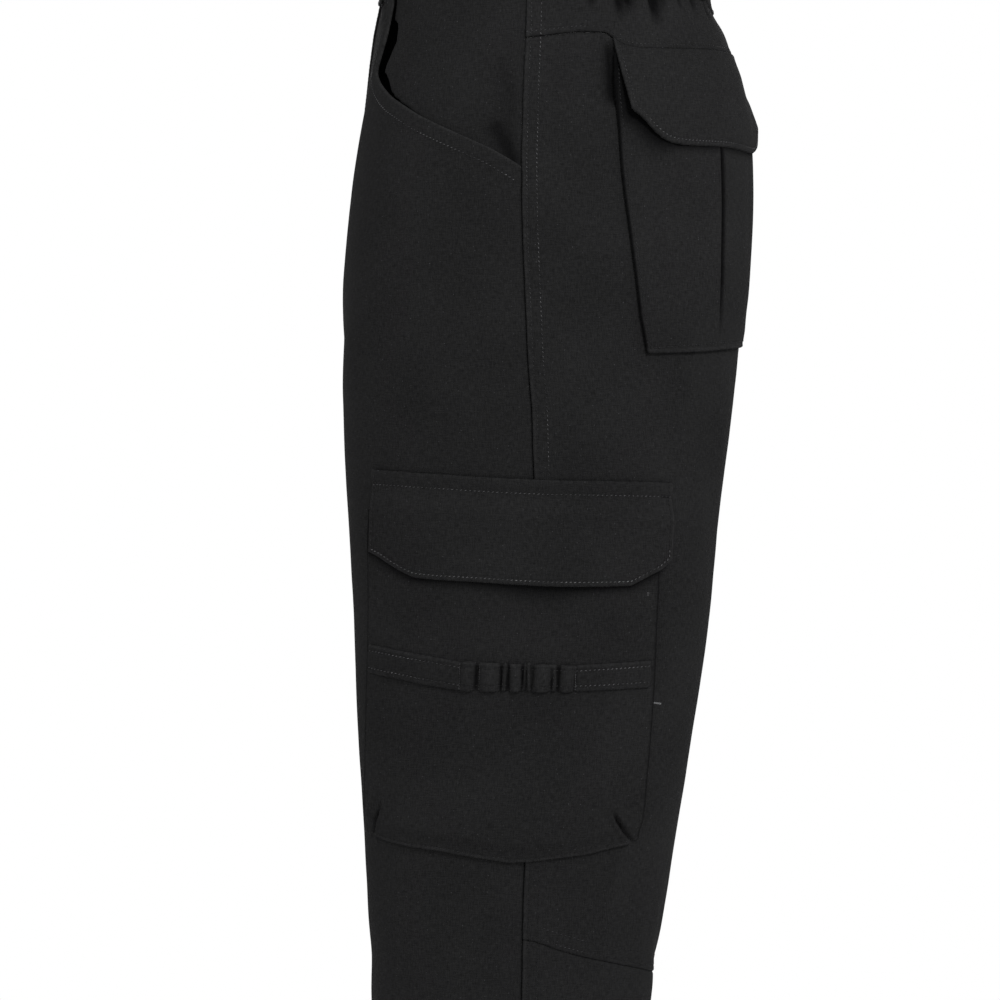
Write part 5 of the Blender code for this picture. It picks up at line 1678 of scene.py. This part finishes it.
# %% [markdown]
# ## Rows on the waistband, the fly and the belt loops
#
# The band's front halves have a row along each edge and one at the tab's end, and the elastic is
# stitched through four times.  Two rows hold the fly lap, and a bartack each end of a belt loop.

# %% Rows on the waistband, the fly and the loops
FLY_ROWS = (3.0, 8.5)  # stitch rows inside the lap's edge
LOOP_ROW = 3.9  # stitch rows to both sides of a loop's middle
LOOP_BARTACKS = (-36.4, 0.2)  # drops of a loop's bartacks, from -4.6 to 4.6 across it
for leg, side in SIDES:
    for row in BAND_ROWS:
        start = 1 + (TAB_LENGTH - 2 * MM) / front_length(-row * MM) if leg > 0 else 0.99
        sew("band", "topstitch", "waistband_" + side,
            crossing(lambda part: -row * MM, -start, -0.01, front_length), leg)
for row in ELASTIC_ROWS:
    sew("band", "topstitch", "waistband_elastic",
        crossing(lambda part: -row * MM, 0.01, 1.99, back_length, 600), 1)
tab_end = straight((-1, -2.2), (-1, -37.6))
tab_end[:, 0] = -front_length(tab_end[:, 1]) - TAB_LENGTH + 2.2 * MM
sew("band", "topstitch", "waistband_left", tab_end, 1)

fly_outline = chalk([(32, 1)] + [(x, fly_foot(x * MM) / MM) for x in np.linspace(32, -8, 24)])
for row in FLY_ROWS:
    line = inset(fly_outline, row * MM)
    line = line[(line[:, 0] > -7 * MM) & (line[:, 1] > 1 * MM)]
    line[:, 0] -= front_length(line[:, 1])
    sew("front", "topstitch", "fly_facing", line, 1)

for name, node, holder, leg, middle in LOOPS:
    for offset in (-LOOP_ROW, LOOP_ROW):
        sew("band", "topstitch", "belt_loop_" + name,
            upright(lambda drops: middle(drops) + offset * MM, -36.5, 0.5, 40), leg)
    for level in LOOP_BARTACKS:
        line = straight((-4.6, level), (4.6, level))
        line[:, 0] += middle(line[:, 1])
        sew("band", "bartack", "belt_loop_" + name, line, leg, BARTACK_STEP)
print("rows so far:", rows_noted())

# %% [markdown]
# ## Rows on the pockets, flaps and straps
#
# A patch is stitched all round its outline, a flap along its free edge and, on the cargo pocket,
# across its top.  The rows follow the outlines that the pieces were cut to, moved inwards.  The
# strap is sewn along both edges and tacked across where its elastic is held.

# %% Rows on the pockets, flaps and straps
BARTACKS = (  # region, style, piece, and the places it runs between
    ("cargo", "dark_bartack", "cargo_pocket_flap_", ((-110.5, 316.5), (-110.9, 321.5))),
    ("cargo", "dark_bartack", "cargo_pocket_flap_", ((77.5, 325.2), (83.5, 325.8))),
    ("cargo", "bartack", "cargo_patch_pocket_", ((65.4, 386), (65.4, 388))),
    ("back", "pale_bartack", "back_panel_", ((75.6, 457), (82.4, 457.8))),
)
STRAP_ROW = 3.3  # stitch rows inside the strap's edges
STRAP_STRETCHES = ((-113, -50.5, "topstitch"), (-49.5, 20.5, "sunken"), (22, 67.5, "topstitch"))


def sew_flap(region, flap, line, foot_from, foot_style, side_style, leg):
    """Sew a flap's foot, which starts at a drop, and then its two sides in another thread."""
    on_foot = line[:, 1] > foot_from
    sew(region, foot_style, flap, line[on_foot], leg)
    sew(region, side_style, flap, line[:np.argmax(on_foot)], leg)
    sew(region, side_style, flap, line[len(line) - np.argmax(on_foot[::-1]):], leg)


offsets = [-half for level, half in BACK_POCKET] + [half for level, half in BACK_POCKET[::-1]]
levels = [level for level, half in BACK_POCKET + BACK_POCKET[::-1]]
pocket_outline = chalk([(BACK_MIDDLE / MM + offset, float(pocket_level(level, offset)))
                        for offset, level in zip(offsets, levels)])
for leg, side in SIDES:
    sew("seat", "sunken", "back_patch_pocket_" + side, inset(pocket_outline, -2.6 * MM), leg)
    line = inset(chalk(back_flap_line / MM), -2.8 * MM)
    line = line[line[:, 1] > read_line(yoke_seam, line[:, 0]) + 2 * MM]
    sew_flap("seat", "back_pocket_flap_" + side, line, 88 * MM, "topstitch", "dim", leg)
    flap, strap = "cargo_pocket_flap_" + side, "pocket_strap_" + side
    line = inset(chalk(cargo_flap_line / MM), -2.6 * MM)
    sew_flap("cargo", flap, line[line[:, 1] > 312 * MM], 359 * MM, "bright", "sunken", leg)
    top = [(row[0], row[2] + 8.8) for row in CARGO_FLAP]
    top[0], top[-1] = (-112, 318.0), (83.2, 325.9)
    sew("cargo", "topstitch", flap, straight(*top), leg)
    foot = inset(chalk(CARGO_POCKET[1:-1]), -1.6 * MM)
    sew("cargo", "sunken", "cargo_patch_pocket_" + side, foot, leg)
    for start, end, style in STRAP_STRETCHES:
        reaches = np.linspace(start, end, 90) * MM
        upper, lower = strap_edges(reaches)
        for drops in (upper + STRAP_ROW * MM, lower - STRAP_ROW * MM):
            sew("cargo", style, strap, np.stack([reaches, drops], axis=1), leg)
    for tack in TACKS + FINE_TACKS:
        upper, lower = strap_edges(np.array([tack * MM]))
        line = straight((tack, upper[0] / MM + 1.2), (tack + 0.3, lower[0] / MM - 1.2))
        sew("cargo", "tack" if tack in TACKS else "sunken", strap, line, leg, TACK_STEP)
    for region, style, name, places in BARTACKS:
        sew(region, style, name + side, straight(*places), leg, BARTACK_STEP)
print("rows in all:", rows_noted())

# %% [markdown]
# ## Writing a material as sums
#
# A finish is easiest to read as arithmetic: how high the weave stands, times how dark the dye is.
# The small class below wraps one socket, so a sum in Python adds the Math nodes for it, and the
# maker class adds every other node with its settings and the values or links of its sockets.

# %% A socket that can be added and multiplied
class Value:
    """One output socket; arithmetic on it adds Math nodes to its material."""

    def __init__(self, finish, socket):
        self.finish = finish
        self.socket = socket

    def __add__(self, other):
        return self.finish.math("ADD", self, other)

    __radd__ = __add__

    def __sub__(self, other):
        return self.finish.math("SUBTRACT", self, other)

    def __rsub__(self, other):
        return self.finish.math("SUBTRACT", other, self)

    def __mul__(self, other):
        return self.finish.math("MULTIPLY", self, other)

    __rmul__ = __mul__


class Finish:
    """A material that is built by short calls."""

    def __init__(self, name):
        self.material = bpy.data.materials.new(name)
        self.material.use_nodes = True
        self.tree = self.material.node_tree
        self.tree.nodes.clear()

    def node(self, kind, settings, sockets, output=0):
        """A node of a kind, with its settings and the values or links of its sockets."""
        node = self.tree.nodes.new(kind)
        for name, value in settings.items():
            setattr(node, name, value)
        for name, value in sockets.items():
            if isinstance(value, Value):
                self.tree.links.new(value.socket, node.inputs[name])
            else:
                node.inputs[name].default_value = value
        return Value(self, node.outputs[output])

    def math(self, operation, *values, clamp=False):
        return self.node("ShaderNodeMath", {"operation": operation, "use_clamp": clamp},
                         dict(enumerate(values)))

    def mix(self, part, first, second):
        """Colour between two others."""
        return self.node("ShaderNodeMix", {"data_type": "RGBA"},
                         {0: part, 6: first, 7: second}, 2)

    def noise(self, vector, scale, detail=2.0, rough=0.5):
        return self.node("ShaderNodeTexNoise", {}, {
            "Vector": vector, "Scale": scale, "Detail": detail, "Roughness": rough})

    def shader(self, color, rough, bump, gloss, **more):
        """A surface with its colour, roughness, bump and specular level."""
        return self.node("ShaderNodeBsdfPrincipled", {}, {
            "Base Color": color, "Roughness": rough, "Normal": bump, "Specular IOR Level": gloss,
            **more})

    def bump(self, height, distance, strength):
        return self.node("ShaderNodeBump", {}, {"Height": height, "Distance": distance,
                                                "Strength": strength})

    def place(self):
        """Object coordinates."""
        return self.node("ShaderNodeTexCoord", {}, {}, 3)

    def vector(self, x, y, z):
        return self.node("ShaderNodeCombineXYZ", {}, {0: x, 1: y, 2: z})

    def window(self, value, start, end):
        """0 up to start, 1 from end on, in between in proportion."""
        return self.node("ShaderNodeMapRange", {},
                         {"Value": value, "From Min": start, "From Max": end})

    def close(self, shader):
        """Link the shader to the output, and hand over the material."""
        output = self.tree.nodes.new("ShaderNodeOutputMaterial")
        self.tree.links.new(shader.socket, output.inputs[0])
        print("finish", self.material.name, "nodes:", len(self.tree.nodes))
        return self.material


# %% [markdown]
# ## Black cotton
#
# The cloth is a plain weave of black yarn, matte, with slubs where the yarn is thicker, a slightly
# uneven dye and a little lint.  Rubbed edges are paler, and shade is painted into seams, pleats,
# folds and the places under flaps as a near-black: each mesh holds both in one value per point,
# paler wear above zero and painted shade below.  The weave follows the UV map, which holds each
# piece's own grain in metres.  The over and under of a plain weave is the sign of one sine across
# the warp times one across the weft.

# %% The cloth finish
PAINTED_SHADE_COLOR = (0.0009, 0.0009, 0.001, 1.0)  # painted shade: the near-black of seams, pleats, folds and places under flaps


def cloth_finish(name, thread, dark, pale, seed):
    """Woven black cotton; thread is the distance between two threads in millimetres."""
    f = Finish(name)
    uv = f.node("ShaderNodeUVMap", {"uv_map": "UVMap"}, {})
    place = f.node("ShaderNodeSeparateXYZ", {}, {0: uv})
    u = place * 1000.0
    v = Value(f, place.socket.node.outputs[1]) * 1000.0
    flat = f.vector(u, v, seed)
    wander = f.noise(flat, 0.11, 2.0) - 0.5
    u_threads = (u + wander * 1.6) * (1.0 / thread)
    v_threads = (v - wander * 1.6) * (0.94 / thread)
    warp = f.math("SINE", u_threads * math.pi)
    weft = f.math("SINE", v_threads * math.pi)
    over = warp * weft * 0.4
    weave = f.math("MAXIMUM", warp * warp * (over + 0.6), weft * weft * (0.6 - over))
    warp_slub = f.noise(f.vector(u * (0.8 / thread), v * 0.22, seed + 1.0), 1.0, 1.0)
    weft_slub = f.noise(f.vector(u * 0.22, v * (0.8 / thread), seed + 2.0), 1.0, 1.0)
    mottle = f.noise(flat, 0.42, 3.0, 0.6)
    dye = f.noise(flat, 0.016, 2.0)
    part = (weave * 0.42 + (warp_slub - 0.5) * 0.66 + (weft_slub - 0.5) * 0.58
            + (mottle - 0.5) * 0.32 + (dye - 0.5) * 0.35 + 0.09)
    worn_and_shaded = f.node("ShaderNodeAttribute", {"attribute_name": "wear_and_painted_shade"}, {}, 2)
    broken = f.math("MAXIMUM", worn_and_shaded, 0.0) * f.window(mottle + weave * 0.2, 0.36, 0.72)
    # How much painted shade the value asks for below zero.
    painted_darkness = f.math("MAXIMUM", worn_and_shaded * -0.88, 0.0)
    part = f.math("ADD", part, broken * 0.6, clamp=True)
    color = f.mix(part, dark + (1.0,), pale + (1.0,))
    cell = {"voronoi_dimensions": "2D"}
    fleck = f.node("ShaderNodeTexVoronoi", cell, {"Vector": flat, "Scale": 0.13})
    chance = f.node("ShaderNodeTexVoronoi", cell, {"Vector": flat, "Scale": 0.13}, 1)
    chosen = f.window(f.node("ShaderNodeSeparateColor", {}, {0: chance}), 0.55, 1.0)
    lint = (1.0 - f.window(fleck, 0.014, 0.045)) * chosen
    color = f.mix(lint * 0.5, color, (0.05, 0.05, 0.053, 1.0))
    # Painted shade: the colour is mixed towards a near-black.
    color = f.mix(f.math("MINIMUM", painted_darkness, 0.88), color, PAINTED_SHADE_COLOR)
    height = weave * 0.10 + (warp_slub + weft_slub) * 0.10 + mottle * 0.10
    rough = f.math("SUBTRACT", 0.96, weave * 0.12 + broken * 0.1)
    return f.close(f.shader(color, rough, f.bump(height, 0.9 * MM, 0.8), 0.008,
                            **{"Sheen Weight": 0.001, "Sheen Roughness": 0.5}))


cotton = cloth_finish("black cotton canvas", 0.58, (0.0038, 0.0038, 0.0039),
                      (0.0135, 0.0135, 0.0137), 0.0)
strap_cotton = cloth_finish("black cotton strap", 0.55, (0.0036, 0.0036, 0.0037),
                            (0.0138, 0.0138, 0.0140), 7.0)

# %% [markdown]
# ## Thread and button
#
# Thread is polyester: smoother than the cloth, so it catches more light.  The button is pressed
# plastic with a satin face, finely scratched where it goes through the buttonhole.

# %% The thread and button finishes
def thread_finish(name, dark, pale, gloss):
    """Plied thread, from its darkest to its palest colour."""
    f = Finish(name)
    where = f.place()
    ply = f.noise(where, 2600.0, 1.0)
    along = f.window(f.noise(where, 38.0, 2.0), 0.36, 0.68)
    each = f.noise(where, 420.0, 0.0)
    color = f.mix(f.math("ADD", ply * 0.3 - 0.15, along * each * 1.5, clamp=True), dark + (1.0,),
                  pale + (1.0,))
    return f.close(f.shader(color, 0.62 + ply * 0.2, f.bump(ply, 0.08 * MM, 0.6), gloss))


def button_finish():
    f = Finish("black button plastic")
    where = f.place()
    scratch = f.noise(where, 900.0, 4.0, 0.7)
    cloud = f.noise(where, 120.0, 2.0)
    color = f.mix(cloud, (0.010, 0.010, 0.011, 1.0), (0.017, 0.017, 0.018, 1.0))
    return f.close(f.shader(color, 0.4 + scratch * 0.25, f.bump(scratch, 0.05 * MM, 0.5), 0.2))


# Most finishes here are copies of one black thread: dim, sunken and dark_bartack are darker copies
# for painted shade, bright and pale_bartack paler ones for painted highlight.
THREADS = {
    "topstitch": thread_finish("black topstitch thread", (0.008, 0.008, 0.0085),
                               (0.058, 0.058, 0.06), 0.1),
    "tack": thread_finish("worn black tack thread", (0.008, 0.008, 0.0083),
                          (0.052, 0.052, 0.053), 0.05),
    "dark_bartack": thread_finish("bartack thread in painted shade", (0.004, 0.004, 0.0043),
                                  (0.012, 0.012, 0.0123), 0.05),
    "dim": thread_finish("black topstitch thread in painted shade", (0.005, 0.005, 0.0053),
                         (0.032, 0.032, 0.033), 0.05),
    "bright": thread_finish("black topstitch thread with painted highlight", (0.012, 0.012, 0.0125),
                            (0.085, 0.085, 0.087), 0.1),
    "sunken": thread_finish("black thread in painted shade", (0.004, 0.004, 0.0043),
                            (0.015, 0.015, 0.0155), 0.05),
    "bartack": thread_finish("black bartack thread", (0.008, 0.008, 0.009),
                             (0.026, 0.026, 0.027), 0.3),
    "pale_bartack": thread_finish("bartack thread with painted highlight", (0.05, 0.05, 0.052),
                                  (0.11, 0.11, 0.112), 0.2),
}
button.data.materials.append(button_finish())
for piece, node, slot, *_ in sheets:
    piece.data.materials.append(strap_cotton if slot == "strap" else cotton)

# %% [markdown]
# ## Sewing the rows
#
# Each group of rows becomes one mesh of bare lines, which the tree turns into thread.  The finished
# beads are kept as a plain mesh, so nothing is left to compute later.

# %% Thread on the seams
STYLES = {  # pitch, length of a bead, width, turn
    "topstitch": (2.85 * MM, 1.7 * MM, 0.54 * MM, 0.35),
    "dim": (2.85 * MM, 1.7 * MM, 0.50 * MM, 0.35),
    "tack": (1.5 * MM, 1.5 * MM, 0.46 * MM, 0.1),
    "dark_bartack": (0.42 * MM, 1.8 * MM, 0.42 * MM, math.pi / 2),
    "bright": (2.85 * MM, 1.8 * MM, 0.60 * MM, 0.35),
    "sunken": (2.85 * MM, 1.8 * MM, 0.46 * MM, 0.2),
    "bartack": (0.42 * MM, 2.0 * MM, 0.42 * MM, math.pi / 2),
    "pale_bartack": (0.42 * MM, 1.6 * MM, 0.42 * MM, math.pi / 2),
}
THREAD_SEED = 12


def sewn(name, lines, style):
    """One plain mesh of thread along lines of places and outward directions."""
    counts = [len(points) for points, _ in lines]
    starts = np.cumsum([0] + counts[:-1])
    edges = np.concatenate([np.stack([np.arange(n - 1), np.arange(1, n)], axis=1) + start
                            for start, n in zip(starts, counts)])
    mesh = bpy.data.meshes.new(name + "_lines")
    mesh.from_pydata(np.concatenate([points for points, _ in lines]).tolist(), edges.tolist(), [])
    ways = mesh.attributes.new("outward", "FLOAT_VECTOR", "POINT")
    ways.data.foreach_set("vector", np.concatenate([w for _, w in lines]).ravel())
    thread = bpy.data.objects.new(name, mesh)
    scene.collection.objects.link(thread)
    modifier = thread.modifiers.new("sew", "NODES")
    modifier.node_group = sewing
    inputs = dict(zip(("Pitch", "Length", "Width", "Turn"), STYLES[style]))
    inputs.update({"Seed": THREAD_SEED, "Thread": THREADS[style]})
    for item in sewing.interface.items_tree:
        if item.in_out == "INPUT" and item.name in inputs:
            modifier[item.identifier] = inputs[item.name]
    evaluated = thread.evaluated_get(bpy.context.evaluated_depsgraph_get())
    plain = bpy.data.meshes.new_from_object(evaluated)
    thread.modifiers.clear()
    thread.data = plain
    bpy.data.meshes.remove(mesh)
    return thread


threads = []
for (region, style, leg), lines in sorted(stitch_rows.items()):
    name = "thread_%s_%s_%s" % (style, region, dict(SIDES)[leg])
    threads.append(sewn(name, lines, style))
    print(name, "faces:", len(threads[-1].data.polygons))

# %% [markdown]
# ## Studio
#
# The picture was taken from the wearer's left, level with the thigh, through a long lens, against
# white.  A white world lights the cloth evenly, and four soft lamps, one to each side of the
# garment, give it shape.  The floor is a plain pale disc just under the hems.

# %% Floor, light and camera
FLOOR_RADIUS, FLOOR_TOP, FLOOR_CORNERS = 2.8, -1.0625, 96
LAMPS = (  # name, place, what it is aimed at, size, power in watts
    ("key_light", (2.2, 1.3, 1.5), (0.1, 0.0, -0.4), 0.9, 120),
    ("front_light", (0.5, -2.5, 1.8), (0.0, 0.0, 0.2), 1.1, 90),
    ("back_light", (0.5, 2.5, 1.5), (0.0, 0.0, 0.1), 1.1, 45),
    ("far_light", (-2.6, 0.1, 1.5), (0.0, 0.0, -0.4), 1.2, 100),
)
CAMERA_PLACE = (3.0, -0.0295, -0.348)
LENS, SENSOR = 160.9, 36.0  # in millimetres


def build_floor():
    turn = np.linspace(0, 2 * math.pi, FLOOR_CORNERS, endpoint=False)
    rim = np.stack([np.cos(turn) * FLOOR_RADIUS, np.sin(turn) * FLOOR_RADIUS,
                    np.full(FLOOR_CORNERS, FLOOR_TOP)], axis=1)
    mesh = bpy.data.meshes.new("pale_floor")
    mesh.from_pydata(rim.tolist(), [], [list(range(FLOOR_CORNERS))])
    floor = bpy.data.objects.new("pale_floor", mesh)
    scene.collection.objects.link(floor)
    f = Finish("pale floor paint")
    color = f.mix(f.noise(f.place(), 30.0, 3.0), (0.80, 0.80, 0.80, 1.0), (0.84, 0.84, 0.84, 1.0))
    mesh.materials.append(f.close(f.node("ShaderNodeBsdfPrincipled", {}, {
        "Base Color": color, "Roughness": 0.8, "Specular IOR Level": 0.2})))


def lamp(name, place, target, size, power):
    light = bpy.data.lights.new(name, "AREA")
    light.shape = "SQUARE"
    light.size = size
    light.energy = power
    holder = bpy.data.objects.new(name, light)
    holder.location = place
    aim = Vector(target) - Vector(place)
    holder.rotation_euler = aim.to_track_quat("-Z", "Y").to_euler()
    scene.collection.objects.link(holder)


build_floor()
scene.world = bpy.data.worlds.new("white studio")
scene.world.use_nodes = True
background = scene.world.node_tree.nodes["Background"]
background.inputs["Color"].default_value = (1.0, 1.0, 1.0, 1.0)
background.inputs["Strength"].default_value = 1.0
scene.view_settings.view_transform = "Standard"
for name, place, target, size, power in LAMPS:
    lamp(name, place, target, size, power)

camera_data = bpy.data.cameras.new("side_view")
camera_data.lens = LENS
camera_data.sensor_width = SENSOR
camera = bpy.data.objects.new("side_view", camera_data)
camera.location = CAMERA_PLACE
camera.rotation_euler = (math.pi / 2, 0.0, math.pi / 2)
scene.collection.objects.link(camera)
scene.camera = camera
print("camera at", CAMERA_PLACE)

# %% [markdown]
# ## What each piece stands for
#
# Last, every piece is tied to the frame: it rides on the garment's one body and replaces its solid,
# which is hidden.  Each sheet took the finish of its slot above.

# %% Ties to the frame
for piece, node, slot, held, rests_on, flat, area in sheets:
    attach(piece, "root")
    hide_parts(node)
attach(button, "root")
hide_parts("waist_button")
for thread in threads:
    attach(thread, "root")
pieces = [sheet[0] for sheet in sheets] + [button] + threads
triangles = sum(len(face.vertices) - 2 for piece in pieces for face in piece.data.polygons)
print("pieces:", len(pieces), "triangles:", triangles)
